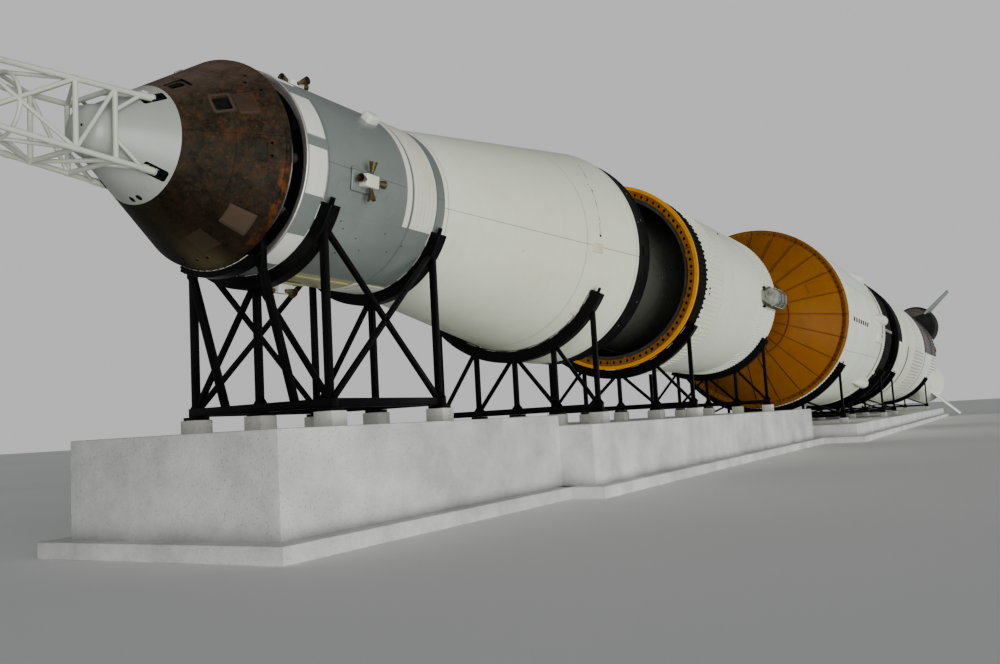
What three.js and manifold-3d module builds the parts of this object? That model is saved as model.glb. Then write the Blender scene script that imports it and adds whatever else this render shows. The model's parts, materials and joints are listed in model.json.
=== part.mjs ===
// A three-stage space rocket as a 1:10 scale model, laid out on its side in its sections.
// Each section lies on its own steel cradles, and one stepped plinth carries them all.
// Millimetres. +X runs from nose to tail, +Z is up, and the plinth's underside is at zero.
import * as THREE from "three";
import { mergeVertices } from "three/addons/utils/BufferGeometryUtils.js";
import Module from "manifold-3d";

const wasm = await Module();
wasm.setup();

// Driving sizes. A station is a distance along the rocket's axis, 0 where the service section
// meets the adapter, and it grows towards the tail.
const AXIS_HEIGHT = 700;
const GAP = 0.3;
const NOSE_TIP = -1740;
const CAPSULE_RADIUS = 195.5;
const THIRD_RADIUS = 330;
const WIDE_RADIUS = 503;
const ADAPTER_AFT = 853;
const INSTRUMENT_AFT = 944;
const THIRD_FRONT = 1409;
const THIRD_AFT = THIRD_FRONT + 1209;
const SECOND_FRONT = 3555;
const SECOND_AFT = SECOND_FRONT + 1928;
const FIRST_FRONT = 5930;
const FIRST_AFT = FIRST_FRONT + 3620;
const SIDES = { small: 14, capsule: 32, third: 36, wide: 40 };

// The engines: length from gimbal to exit, and the radii of the bell.
const BIG_ENGINE = {
  length: 560, dome: 52, chamber: 50, throat: 44, manifold: 104, exit: 183, wall: 7,
  throatAt: 0.27, manifoldAt: 0.5, turbine: 62, circle: 462, block: 34, ear: 8, sides: 14,
};
const SMALL_ENGINE = {
  length: 335, dome: 27, chamber: 24, throat: 19, manifold: 62, exit: 105, wall: 5,
  throatAt: 0.27, manifoldAt: 0.5, turbine: 30, circle: 267, block: 20, ear: 5, sides: 10,
};
// A gimbal's pin stands this far behind the face that carries it.
const standOff = (size) => size.block / 2 + size.ear + GAP;
const FIRST_GIMBAL = FIRST_AFT + standOff(BIG_ENGINE);
const ENGINE_EXIT = FIRST_GIMBAL + BIG_ENGINE.length;
const SECOND_GIMBAL = SECOND_AFT + standOff(SMALL_ENGINE);
const THRUST_CONE_END = THIRD_AFT + 183;
const THIRD_GIMBAL = THRUST_CONE_END + standOff(SMALL_ENGINE);
const CORNERS = [45, 135, 225, 315];

const CENTRE_STATION = (NOSE_TIP + ENGINE_EXIT) / 2;

// Paints and metals.
const PAINTS = {
  tower: ["#b9c2b6", 0.6, 0.1],
  cover: ["#aeb5ad", 0.5, 0.1],
  char: ["#4a3525", 0.7, 0.2],
  grey: ["#7f878a", 0.5, 0.3],
  white: ["#e4e6df", 0.45, 0.05],
  black: ["#16171a", 0.5, 0.2],
  orange: ["#c9831c", 0.5, 0.1],
  silver: ["#a9adad", 0.35, 0.8],
  bell: ["#6d6a66", 0.45, 0.7],
  primer: ["#3c4038", 0.6, 0.2],
  concrete: ["#cfcfca", 0.9, 0],
};

const rocket = new THREE.Group();
rocket.position.set(-CENTRE_STATION, 0, AXIS_HEIGHT);
const display = new THREE.Group();
display.add(rocket);

// A closed solid of any geometry. Triangles that shrink to a line at a pole are dropped.
function solid(geometry) {
  const bare = geometry.clone();
  bare.deleteAttribute("normal");
  bare.deleteAttribute("uv");
  const merged = mergeVertices(bare, 1e-3);
  const corners = merged.index.array;
  const kept = [];
  for (let i = 0; i < corners.length; i += 3) {
    const [a, b, c] = corners.slice(i, i + 3);
    if (a !== b && b !== c && c !== a) kept.push(a, b, c);
  }
  return new wasm.Manifold(
    new wasm.Mesh({
      numProp: 3,
      vertProperties: merged.attributes.position.array,
      triVerts: new Uint32Array(kept),
    }),
  );
}

const join = (solids) => solids.reduce((sum, next) => sum.add(next));

// A named piece in the rocket's frame or the floor's, in one of the paints.
function piece(name, paint, form, parent = rocket) {
  const body = form.isBufferGeometry ? solid(form) : form;
  const mesh = body.getMesh();
  const count = mesh.numVert;
  const places = new Float32Array(count * 3);
  for (let i = 0; i < count; i += 1) {
    places.set(mesh.vertProperties.subarray(i * mesh.numProp, i * mesh.numProp + 3), i * 3);
  }
  const geometry = new THREE.BufferGeometry();
  geometry.setAttribute("position", new THREE.BufferAttribute(places, 3));
  geometry.setIndex(new THREE.BufferAttribute(mesh.triVerts, 1));
  geometry.computeVertexNormals();
  const [color, roughness, metalness] = PAINTS[paint];
  const made = new THREE.Mesh(
    geometry,
    new THREE.MeshStandardMaterial({ color, roughness, metalness }),
  );
  made.name = name;
  parent.add(made);
  return made;
}

// A body turned about the rocket's axis from an outline of [station, radius] points.
function turned(outline, sides) {
  let points = outline.map(([station, radius]) => new THREE.Vector2(radius, station));
  if (THREE.ShapeUtils.area(points) < 0) points = points.reverse();
  const onAxis = points[0].x === 0 && points[points.length - 1].x === 0;
  if (!onAxis) points = [...points, points[0].clone()];
  return new THREE.LatheGeometry(points, sides).rotateZ(-Math.PI / 2);
}

// Points of an elliptical arc: centre, half axes, and the angles it runs between, in degrees.
function arc([station, radius], [long, wide], from, to, steps) {
  return Array.from({ length: steps + 1 }, (_, i) => {
    const angle = THREE.MathUtils.degToRad(from + ((to - from) * i) / steps);
    return [station + long * Math.cos(angle), Math.max(0, radius + wide * Math.sin(angle))];
  });
}

// The direction from the axis at an angle round it: 0 is the near side (-Y), 90 is up.
function round(degrees, radius) {
  const angle = THREE.MathUtils.degToRad(degrees);
  return [-radius * Math.cos(angle), radius * Math.sin(angle)];
}

// A straight round bar between two points.
function bar(from, to, radius, sides = 6) {
  const start = new THREE.Vector3(...from);
  const end = new THREE.Vector3(...to);
  const along = end.clone().sub(start);
  const rod = new THREE.CylinderGeometry(radius, radius, along.length(), sides);
  rod.applyQuaternion(
    new THREE.Quaternion().setFromUnitVectors(new THREE.Vector3(0, 1, 0), along.normalize()),
  );
  const middle = start.add(end).multiplyScalar(0.5);
  return solid(rod.translate(middle.x, middle.y, middle.z));
}

// A square beam in a plane across the axis, between two [y, z] points.
function beam([y1, z1], [y2, z2], station, deep, wide) {
  const length = Math.hypot(y2 - y1, z2 - z1);
  const box = new THREE.BoxGeometry(deep, length, wide);
  box.rotateX(Math.atan2(z2 - z1, y2 - y1));
  return solid(box.translate(station, (y1 + y2) / 2, (z1 + z2) / 2));
}

function block([x1, x2], [y1, y2], [z1, z2]) {
  const box = new THREE.BoxGeometry(x2 - x1, y2 - y1, z2 - z1);
  return solid(box.translate((x1 + x2) / 2, (y1 + y2) / 2, (z1 + z2) / 2));
}

// An outline of [station, radius] points, drawn out across a plane through the axis at an angle.
function fin(outline, thick, angle) {
  const shape = new THREE.Shape(outline.map(([station, radius]) => new THREE.Vector2(station, radius)));
  const body = new THREE.ExtrudeGeometry(shape, { depth: thick, bevelEnabled: false });
  body.translate(0, 0, -thick / 2).rotateX(Math.PI / 2);
  return solid(body.rotateX(THREE.MathUtils.degToRad(90 - angle)));
}

// The tunnels that carry a stage's lines past its tanks: long boxes with sloped ends on the hull.
const TUNNEL_SUNK = 6;

function tunnels({ from, to, wide, tall, angles }, radius) {
  const sunk = radius - TUNNEL_SUNK;
  const outline = [
    [from, sunk], [from + 2 * tall, radius + tall], [to - 2 * tall, radius + tall], [to, sunk],
  ];
  return angles.map((angle) => fin(outline, wide, angle));
}

// The cabin's cone, which the apex cover continues.
const CABIN = {
  top: -663, topRadius: 102.7, base: -512, baseRadius: CAPSULE_RADIUS, wall: 9, edge: [5, 2],
  shield: [[-501, CAPSULE_RADIUS], [-494, 187.5], [-481, 150], [-469, 80], [-462, 0]],
  shieldInside: [[-486, 0], [-514, 150], [-524, 171.5]],
};
const CONE_SLOPE = (CABIN.baseRadius - CABIN.topRadius) / (CABIN.base - CABIN.top);
const coneRadius = (station) => CABIN.topRadius + CONE_SLOPE * (station - CABIN.top);
const CONE_WALL = CABIN.wall * Math.hypot(1, CONE_SLOPE);

// The escape tower: four legs that lean together from the cover's wells to the motor.
const TOWER = {
  foot: -687, shoulder: -710, frames: [-758, -827], hoop: -914, hoopHalf: 3, top: -1000,
  topFrame: -996, footHalf: 62, topHalf: 46, leg: 4.6, brace: 3.4,
  well: 11, wellDepth: 12, wellPast: 20, footSunk: 4,
};
const legHalf = (station) =>
  THREE.MathUtils.mapLinear(station, TOWER.foot, TOWER.top, TOWER.footHalf, TOWER.topHalf);
const LEG_SIGNS = [[-1, 1], [1, 1], [1, -1], [-1, -1]];
const legPoint = (index, station) => {
  const [y, z] = LEG_SIGNS[index % 4];
  const half = legHalf(station);
  return [station, y * half, z * half];
};

function escapeTower() {
  const [low, high] = TOWER.frames;
  const bars = [];
  for (const corner of [0, 1, 2, 3]) {
    const next = corner + 1;
    const link = (from, to, thick = TOWER.brace) =>
      bars.push(bar(legPoint(...from), legPoint(...to), thick, thick === TOWER.leg ? 5 : 4));
    link([corner, TOWER.foot], [corner, TOWER.top], TOWER.leg);
    for (const station of [low, high]) link([corner, station], [next, station], TOWER.leg);
    link([corner, TOWER.topFrame], [next, TOWER.topFrame]);
    link([corner, high], [next, low]);
    link([corner, high], [next, TOWER.topFrame]);
    link([next, high], [corner, TOWER.topFrame]);
    const [, y1, z1] = legPoint(corner, low);
    const [, y2, z2] = legPoint(next, low);
    for (const [index, share] of [[corner, 0.3], [next, 0.7]]) {
      const middle = [low, y1 + (y2 - y1) * share, z1 + (z2 - z1) * share];
      bars.push(bar(legPoint(index, TOWER.shoulder), middle, TOWER.brace, 4));
    }
  }
  const middle = legHalf(TOWER.hoop);
  const corners = [[-1, -1], [1, -1], [1, 1], [-1, 1]];
  const hoop = corners.map(([along, out]) =>
    [TOWER.hoop + along * TOWER.hoopHalf, middle + out * TOWER.hoopHalf]);
  return join([...bars, solid(turned(hoop, 12))]);
}

const COVER = { shoulder: -757, dome: [[-776, 33], [-787, 19], [-791, 0]] };

function apexCover() {
  const dome = turned(
    [
      [CABIN.top - GAP, 0], [CABIN.top - GAP, coneRadius(CABIN.top - GAP)],
      [COVER.shoulder, coneRadius(COVER.shoulder)], ...COVER.dome,
    ],
    SIDES.capsule,
  );
  const wells = LEG_SIGNS.map(([y, z]) =>
    bar(
      [TOWER.foot + TOWER.wellDepth, y * TOWER.footHalf, z * TOWER.footHalf],
      [COVER.shoulder - TOWER.wellPast, y * TOWER.footHalf, z * TOWER.footHalf],
      TOWER.well,
      6,
    ),
  );
  const feet = [0, 1, 2, 3].map((corner) =>
    bar(
      [TOWER.foot + TOWER.wellDepth + TOWER.footSunk, ...legPoint(corner, TOWER.foot).slice(1)],
      [TOWER.foot + GAP, ...legPoint(corner, TOWER.foot).slice(1)],
      TOWER.leg,
    ),
  );
  return join([solid(dome).subtract(join(wells)), ...feet]);
}

// The escape motor with its skirt and four slanted nozzles, and the nose with its two fins.
const MOTOR = {
  front: -1475, radius: 33, plug: 31, skirtRadius: 46, skirtEnd: -1060, flange: 14, flangeThick: 10,
  joint: -1500,
  nozzle: { throat: 10, mouth: 24, length: 74, tilt: 35, root: -1076, off: 26 },
};
const NOSE = {
  line: [[-1620, 33], [-1655, 29], [-1690, 21], [-1722, 9], [-1736, 5]],
  fin: { from: -1612, to: -1560, inner: 20, outer: 38, half: 14 },
};

function escapeMotor() {
  const body = turned(
    [
      [TOWER.top - GAP, 0], [TOWER.top - GAP, MOTOR.skirtRadius + MOTOR.flange],
      [TOWER.top - MOTOR.flangeThick, MOTOR.skirtRadius + MOTOR.flange],
      [TOWER.top - 1.4 * MOTOR.flangeThick, MOTOR.skirtRadius],
      [MOTOR.skirtEnd, MOTOR.radius], [MOTOR.front, MOTOR.radius], [MOTOR.front, MOTOR.plug],
      [MOTOR.joint, MOTOR.plug], [MOTOR.joint, 0],
    ],
    SIDES.small,
  );
  const { throat, mouth, length, tilt, root, off } = MOTOR.nozzle;
  const nozzles = CORNERS.map((corner) => {
    const cone = new THREE.CylinderGeometry(throat, mouth, length, 12);
    cone.translate(0, -length / 2, 0);
    cone.rotateZ(THREE.MathUtils.degToRad(90 - tilt));
    cone.translate(root, -off, 0);
    cone.rotateX(THREE.MathUtils.degToRad(corner + 45));
    return solid(cone);
  });
  return join([solid(body), ...nozzles]);
}

function escapeNose() {
  const body = solid(
    turned(
      [
        [MOTOR.joint - GAP, 0], [MOTOR.joint - GAP, MOTOR.radius], ...NOSE.line, [NOSE_TIP, 0],
      ],
      SIDES.small,
    ),
  );
  const { from, to, inner, outer, half } = NOSE.fin;
  const fins = [[inner, outer], [-outer, -inner]].map((across) =>
    block([from, to], across, [-half, half]),
  );
  return join([body, ...fins]);
}

// The crew cabin: a hollow cone with a blunt shield behind, cut for windows and a hatch.
const HATCH = { middle: -592, length: 76, width: 84, angle: 90, seam: 5 };
const WINDOWS = [
  { middle: -597, angle: 27, length: 30, width: 30 },
  { middle: -637, angle: 58, length: 26, width: 16 },
  { middle: -637, angle: 122, length: 26, width: 16 },
  { middle: -597, angle: 153, length: 30, width: 30 },
];

// The hatch's hinge lies in the seam on the far side, along the cone's slope.
const HINGE = {
  y: 39.2, drop: 0.5, knuckle: 2.6, lug: 1.9, middle: 9, ends: [11, 24], second: [2.4, -1],
};

// A point on the hinge's line, at a distance along it from the hatch's middle.
function hingePoint(along) {
  const radius = coneRadius(HATCH.middle);
  const height = Math.sqrt(radius ** 2 - HINGE.y ** 2);
  const slope = Math.atan((CONE_SLOPE * radius) / height);
  return [
    HATCH.middle + along * Math.cos(slope), HINGE.y,
    height - HINGE.drop + along * Math.sin(slope),
  ];
}

// A box that cuts through the cone's wall at an angle round the axis.
const CUT = { inner: -40, outer: 40 };

function wallCutter({ middle, angle, length, width }, grow = 0) {
  const tilt = Math.atan(CONE_SLOPE);
  const box = new THREE.BoxGeometry(length + 2 * grow, width + 2 * grow, CUT.outer - CUT.inner);
  box.translate(0, 0, (CUT.outer + CUT.inner) / 2);
  box.rotateY(-tilt);
  box.translate(middle, 0, coneRadius(middle));
  box.rotateX(THREE.MathUtils.degToRad(90 - angle));
  return solid(box);
}

const cabinCeiling = CABIN.top + CABIN.wall;
const cabinCone = turned(
  [
    [CABIN.top, 0], [CABIN.top, CABIN.topRadius], [CABIN.base, CABIN.baseRadius - CABIN.edge[1]],
    [CABIN.base + CABIN.edge[0], CABIN.baseRadius], ...CABIN.shield, ...CABIN.shieldInside,
    [cabinCeiling, coneRadius(cabinCeiling) - CONE_WALL], [cabinCeiling, 0],
  ],
  SIDES.capsule,
);

function cabinShell() {
  const openings = WINDOWS.map((window) => wallCutter(window));
  const lugs = [1, -1].flatMap((end) => {
    const [from, to] = HINGE.ends.map((along) => hingePoint(end * along));
    const shifted = ([x, y, z]) => [x, y + HINGE.second[0], z + HINGE.second[1]];
    return [bar(from, to, HINGE.lug, 6), bar(shifted(from), shifted(to), HINGE.lug, 6)];
  });
  const shell = solid(cabinCone).subtract(join(openings)).subtract(wallCutter(HATCH));
  return join([shell, ...lugs]);
}

function cabinHatch() {
  const plug = wallCutter(HATCH, -HATCH.seam);
  const knuckle = bar(hingePoint(-HINGE.middle), hingePoint(HINGE.middle), HINGE.knuckle, 6);
  return solid(cabinCone).intersect(plug).add(knuckle);
}

// The service section: front ring, body, four thruster groups and the engine behind.
const SERVICE = { front: -459, ringAft: -402, dish: 20, dishRadius: 160, rim: 9 };

function serviceRing() {
  return turned(
    [
      [SERVICE.front + SERVICE.dish, 0], [SERVICE.front + SERVICE.dish, SERVICE.dishRadius],
      [SERVICE.front, CAPSULE_RADIUS - SERVICE.rim], [SERVICE.front, CAPSULE_RADIUS],
      [SERVICE.ringAft - GAP, CAPSULE_RADIUS], [SERVICE.ringAft - GAP, 0],
    ],
    SIDES.capsule,
  );
}

function serviceBody() {
  return turned(
    [[SERVICE.ringAft, 0], [SERVICE.ringAft, CAPSULE_RADIUS], [-GAP, CAPSULE_RADIUS], [-GAP, 0]],
    SIDES.capsule,
  );
}

const QUAD = {
  station: -295, angles: [-7, 83, 173, 263], length: 84, width: 48, height: 7, hub: 11, hubTop: 24,
  nozzle: { throat: 3.4, mouth: 9.5, length: 28, off: 24, lean: 8, lift: 16 },
};

function thrusterQuad() {
  const foot = CAPSULE_RADIUS + GAP;
  const parts = [
    block(
      [QUAD.station - QUAD.length / 2, QUAD.station + QUAD.length / 2],
      [-QUAD.width / 2, QUAD.width / 2],
      [foot, foot + QUAD.height],
    ),
    block([QUAD.station - QUAD.hub, QUAD.station + QUAD.hub], [-QUAD.hub, QUAD.hub],
      [foot + 1, foot + QUAD.hubTop]),
  ];
  const { throat, mouth, length, off, lean, lift } = QUAD.nozzle;
  for (const turn of [0, 90, 180, 270]) {
    const cone = new THREE.CylinderGeometry(throat, mouth, length, 10);
    cone.translate(0, -off, 0);
    cone.rotateZ(THREE.MathUtils.degToRad(90));
    cone.rotateY(THREE.MathUtils.degToRad(-lean));
    cone.rotateZ(THREE.MathUtils.degToRad(turn));
    parts.push(solid(cone.translate(QUAD.station, 0, foot + lift)));
  }
  return join(parts);
}

// A rocket engine along +X from its gimbal's pin: dome, chamber, open bell, turbine and its duct.
// Two ears reach forward to the pin across local Y. A fixed engine has a block in their place.
function engineSolid(size, fixed) {
  const head = size.block * 0.62;
  const throat = size.length * size.throatAt;
  const wrap = size.length * size.manifoldAt;
  const bellRadius = (share) => size.throat + (size.exit - size.throat) * (1 - (1 - share) ** 1.9);
  const onBell = (station) => [station, bellRadius((station - throat) / (size.length - throat))];
  const collar = size.manifold * 0.24;
  const [, wrapRadius] = onBell(wrap);
  const outer = [
    onBell(throat + (wrap - throat) * 0.5), onBell(wrap - collar), [wrap, wrapRadius + collar],
    onBell(wrap + collar), [size.length, size.exit],
  ];
  const inner = [size.length, wrap, throat + (wrap - throat) * 0.5]
    .map(onBell)
    .map(([station, radius]) => [station, radius - size.wall]);
  const shell = turned(
    [
      [head, 0], [head, size.dome * 0.5], [head * 1.7, size.dome],
      [throat - size.chamber * 0.6, size.chamber], [throat, size.throat],
      ...outer, ...inner, [throat + size.throat * 0.4, 0],
    ],
    size.sides,
  );
  const pumpRadius = size.turbine * 0.5;
  const pumpOff = size.chamber + pumpRadius * 0.8;
  const pumpEnds = [head * 2.4, throat * 1.1];
  const pump = bar([pumpEnds[0], 0, pumpOff], [pumpEnds[1], 0, pumpOff], pumpRadius, 8);
  const duct = bar(
    [pumpEnds[1] - 4, 0, pumpOff],
    [wrap, 0, wrapRadius + collar * 0.4],
    size.turbine * 0.22,
    5,
  );
  const near = size.block / 2 + 1;
  const mounts = fixed
    ? [block([GAP - standOff(size), head + 1], [-near, near], [-near, near])]
    : [1, -1].map((side) => {
        const span = [side * near, side * (near + size.ear)].sort((a, b) => a - b);
        return block([-size.ear, head * 1.5], span, [-size.ear, size.ear]);
      });
  return join([solid(shell), pump, duct, ...mounts]);
}

// A gimbal block turns in its stage's ears about local Z and carries the engine about local Y.
function gimbalBlock(size) {
  const half = size.block / 2;
  return block([-half, half * 0.9], [-half, half], [-half, half]);
}

function placeEngine(stage, number, size, station, corner) {
  const fixed = number === "centre";
  const [y, z] = corner === null ? [0, 0] : round(corner, size.circle);
  const suffix = number === null ? "" : "_" + number;
  const parts = [piece(stage + "_engine" + suffix, "bell", engineSolid(size, fixed))];
  if (!fixed) parts.push(piece(stage + "_gimbal" + suffix, "silver", gimbalBlock(size)));
  for (const part of parts) {
    part.position.set(station, y, z);
    part.rotation.x = corner === null ? 0 : THREE.MathUtils.degToRad(-90 - corner);
  }
}

// The service section's own engine bell, closed in by the adapter.
const SERVICE_BELL = [
  [GAP, 0], [GAP, 70], [40, 60], [70, 24], [140, 70], [280, 118], [280, 112], [140, 63],
  [80, 16], [76, 0],
];
const serviceEngine = () => turned(SERVICE_BELL, SIDES.small);

// The adapter and the instrument ring: hollow, open behind.
const ADAPTER = { wall: 5, lip: 14, lipLength: 8, hole: 150 };

const adapterRadius = (station) =>
  THREE.MathUtils.mapLinear(station, 0, ADAPTER_AFT - ADAPTER.lipLength, CAPSULE_RADIUS, THIRD_RADIUS);

function adapterShell() {
  const { wall, lip, lipLength } = ADAPTER;
  const aft = ADAPTER_AFT - GAP;
  return turned(
    [
      [0, CAPSULE_RADIUS], [ADAPTER_AFT - lipLength, THIRD_RADIUS], [aft, THIRD_RADIUS],
      [aft, THIRD_RADIUS - lip], [ADAPTER_AFT - lipLength, THIRD_RADIUS - lip],
      [ADAPTER_AFT - 1.5 * lipLength, THIRD_RADIUS - wall], [lip, CAPSULE_RADIUS - wall],
      [lipLength, ADAPTER.hole], [0, ADAPTER.hole],
    ],
    SIDES.third,
  );
}

function instrumentRing() {
  const { wall, lip, lipLength } = ADAPTER;
  return turned(
    [
      [ADAPTER_AFT, THIRD_RADIUS], [INSTRUMENT_AFT, THIRD_RADIUS],
      [INSTRUMENT_AFT, THIRD_RADIUS - lip], [INSTRUMENT_AFT - lipLength, THIRD_RADIUS - lip],
      [INSTRUMENT_AFT - lipLength, THIRD_RADIUS - wall],
      [ADAPTER_AFT + lipLength, THIRD_RADIUS - wall],
      [ADAPTER_AFT + lipLength, THIRD_RADIUS - lip], [ADAPTER_AFT, THIRD_RADIUS - lip],
    ],
    SIDES.third,
  );
}

// The third stage: an open front skirt round a dome, a tank, and an open rear skirt.
const THIRD = {
  frontSkirt: 312, rearSkirt: 217, wall: 7, ringThick: 12, ringInner: 288, ringOuter: 336,
  domeRadius: 300, domeBulge: 240, coneLine: [[0, 316], [60, 290], [120, 240]], coneRadius: 88,
  coneRim: 30,
  tunnel: { from: 1560, to: 2160, wide: 30, tall: 13, angles: [100, 262] },
  bottle: { radius: 34, behind: 100, circle: 262, angles: [20, 80, 140, 200, 260, 320] },
};

function thirdFrontRing() {
  const front = THIRD_FRONT;
  return turned(
    [
      [front, THIRD.ringInner], [front, THIRD.ringOuter], [front + THIRD.ringThick, THIRD.ringOuter],
      [front + THIRD.ringThick, THIRD.ringInner],
    ],
    SIDES.third,
  );
}

function thirdFrontDome() {
  const base = THIRD_FRONT + THIRD.frontSkirt - GAP;
  return turned(
    [
      [base, 0], [base, THIRD.domeRadius],
      ...arc([base, 0], [THIRD.domeBulge, THIRD.domeRadius], 108, 180, 4),
    ],
    SIDES.third,
  );
}

function thirdBarrel() {
  const front = THIRD_FRONT + THIRD.ringThick + GAP;
  const inner = THIRD_RADIUS - THIRD.wall;
  const bulkhead = THIRD_FRONT + THIRD.frontSkirt;
  const rear = THIRD_AFT - THIRD.rearSkirt;
  const shell = turned(
    [
      [bulkhead, 0], [bulkhead, inner], [front, inner], [front, THIRD_RADIUS],
      [THIRD_AFT, THIRD_RADIUS], [THIRD_AFT, inner], [rear, inner], [rear, 0],
    ],
    SIDES.third,
  );
  return join([solid(shell), ...tunnels(THIRD.tunnel, THIRD_RADIUS)]);
}

// The cone that carries the engine, with a ring of round pressure bottles.
function thirdThrustCone() {
  const rear = THIRD_AFT - THIRD.rearSkirt + GAP;
  const cone = turned(
    [
      [rear, 0], ...THIRD.coneLine.map(([behind, radius]) => [rear + behind, radius]),
      [THRUST_CONE_END - THIRD.coneRim, THIRD.coneRadius],
      [THRUST_CONE_END, THIRD.coneRadius], [THRUST_CONE_END, 0],
    ],
    SIDES.third,
  );
  const { radius, behind, circle, angles } = THIRD.bottle;
  const bottles = angles.map((angle) =>
    solid(new THREE.SphereGeometry(radius, 10, 8).translate(rear + behind, ...round(angle, circle))),
  );
  const ears = stageEars({ ...SMALL_ENGINE, circle: 0 }, THRUST_CONE_END, 90);
  return join([solid(cone), ...bottles, ...ears]);
}

// A faceted pod on the rear skirt: an eight-sided section with its flat side on the hull, and
// both its ends sloped back. Its side runs from the foot up, its profile from nose to tail.
const POD = {
  from: 2345, to: 2605, angles: [-3.5, 176.5],
  side: [[33, 0], [46, 19], [39, 43], [18, 60]],
  profile: [[0, -1], [260, -1], [260, 18], [230, 61], [70, 61], [0, 9]],
};

function thirdPod() {
  const { from, to, side, profile } = POD;
  const foot = THIRD_RADIUS + GAP;
  const mirrored = side.map(([y, z]) => [-y, z]).reverse();
  const section = new THREE.Shape([...side, ...mirrored].map(([y, z]) => new THREE.Vector2(y, z)));
  const body = new THREE.ExtrudeGeometry(section, { depth: to - from, bevelEnabled: false });
  body.rotateX(Math.PI / 2).rotateZ(Math.PI / 2);
  const ends = new THREE.Shape(profile.map(([x, z]) => new THREE.Vector2(x, z)));
  const across = to - from;
  const kept = new THREE.ExtrudeGeometry(ends, { depth: across, bevelEnabled: false });
  kept.translate(0, 0, -across / 2).rotateX(Math.PI / 2);
  return solid(body).intersect(solid(kept)).translate([from, 0, foot]);
}

// The second stage: an orange cover with a rim over the front, a tank, and a flat engine base.
const SECOND = {
  rim: 42, base: 353,
  cover: [[-6, 494], [0, 472], [-12, 455], [-110, 340], [-190, 232], [-224, 120], [-232, 0]],
  ribs: {
    count: 24, first: -2.2, line: [[-16, 450], [-110, 340], [-190, 232], [-216, 145]],
    thick: 4.4, proud: [3.6, 1.8], sunk: 8,
  },
  tunnel: { from: 3870, to: 4970, wide: 52, tall: 25, angles: [95, 264] },
  feedPods: {
    from: 4545, angles: [41, 4.5, -47.5, 139, 175.5, 227.5],
    line: [[0, 0], [120, 12], [300, 28], [430, 36], [510, 35], [552, 24], [568, 0]],
  },
};

function secondFrontCover() {
  const back = SECOND_FRONT + SECOND.rim - GAP;
  const onCover = ([station, radius]) => [SECOND_FRONT + station, radius];
  const dish = turned(
    [[back, 0], [back, WIDE_RADIUS], [SECOND_FRONT, WIDE_RADIUS], ...SECOND.cover.map(onCover)],
    SIDES.wide,
  );
  const { count, first, line, thick, proud: [ahead, out], sunk: depth } = SECOND.ribs;
  const proud = line.map(([station, radius]) => onCover([station - ahead, radius + out]));
  const sunk = line.map(([station, radius]) => onCover([station + depth, radius])).reverse();
  const ribs = Array.from({ length: count }, (_, i) =>
    fin([...proud, ...sunk], thick, first + (360 * i) / count),
  );
  return join([solid(dish), ...ribs]);
}

function plainDrum(front, aft, radius, sides) {
  return turned([[front, 0], [front, radius], [aft, radius], [aft, 0]], sides);
}

function secondBarrel() {
  const drum = plainDrum(
    SECOND_FRONT + SECOND.rim, SECOND_AFT - SECOND.base - GAP, WIDE_RADIUS, SIDES.wide,
  );
  const { from, angles, line } = SECOND.feedPods;
  const pods = angles.map((angle) =>
    solid(turned(line, 10).translate(from, ...round(angle, WIDE_RADIUS))),
  );
  return join([solid(drum), ...pods, ...tunnels(SECOND.tunnel, WIDE_RADIUS)]);
}

// Two ears on a stage's rear face that hold a gimbal block by its pins, across local Z.
function stageEars(size, face, corner) {
  const near = size.block / 2 + 1;
  const reach = standOff(size) + size.ear * 0.5;
  return [1, -1].map((side) => {
    const middle = side * (near + size.ear / 2);
    const ear = new THREE.BoxGeometry(reach + 1, 2 * size.ear, size.ear);
    ear.translate(face + (reach - 1) / 2, 0, middle + size.circle);
    return solid(ear.rotateX(THREE.MathUtils.degToRad(90 - corner)));
  });
}

// A wide stage's base with the ears of its four outer engines.
function engineBase(drum, size, aft) {
  return join([solid(drum), ...CORNERS.flatMap((corner) => stageEars(size, aft, corner))]);
}

const secondBase = () =>
  engineBase(
    plainDrum(SECOND_AFT - SECOND.base, SECOND_AFT, WIDE_RADIUS, SIDES.wide),
    SMALL_ENGINE,
    SECOND_AFT,
  );

// The first stage: an open front skirt round a tank dome, the tanks, and the thrust section.
const FIRST = {
  frontSkirt: 356, wall: 12, thrust: 583, dome: [[-180, 0], [-166, 200], [-108, 390]],
  tunnel: { from: 6370, to: 8820, wide: 60, tall: 27, angles: [88, 268] },
};

function firstBarrel() {
  const inner = WIDE_RADIUS - FIRST.wall;
  const bulkhead = FIRST_FRONT + FIRST.frontSkirt;
  const aft = FIRST_AFT - FIRST.thrust - GAP;
  const shell = turned(
    [
      ...FIRST.dome.map(([ahead, radius]) => [bulkhead + ahead, radius]), [bulkhead, inner],
      [FIRST_FRONT, inner], [FIRST_FRONT, WIDE_RADIUS], [aft, WIDE_RADIUS], [aft, 0],
    ],
    SIDES.wide,
  );
  return join([solid(shell), ...tunnels(FIRST.tunnel, WIDE_RADIUS)]);
}

const firstBase = () =>
  engineBase(
    plainDrum(FIRST_AFT - FIRST.thrust, FIRST_AFT, WIDE_RADIUS, SIDES.wide),
    BIG_ENGINE,
    FIRST_AFT,
  );

// A half cone over each outer engine, with its swept fin. Local +Z points away from the axis.
const FAIRING = {
  front: FIRST_AFT - 570, aft: FIRST_AFT + 250, wall: 8, closed: 90,
  frontRadius: 60, frontMiddle: 462, aftRadius: 232, aftMiddle: 440,
};
const FIN = {
  rootFront: -90, rootRadius: 640, rootSunk: 40, tipFront: 105, tip: 960, aft: 250, thick: 20,
};

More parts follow.
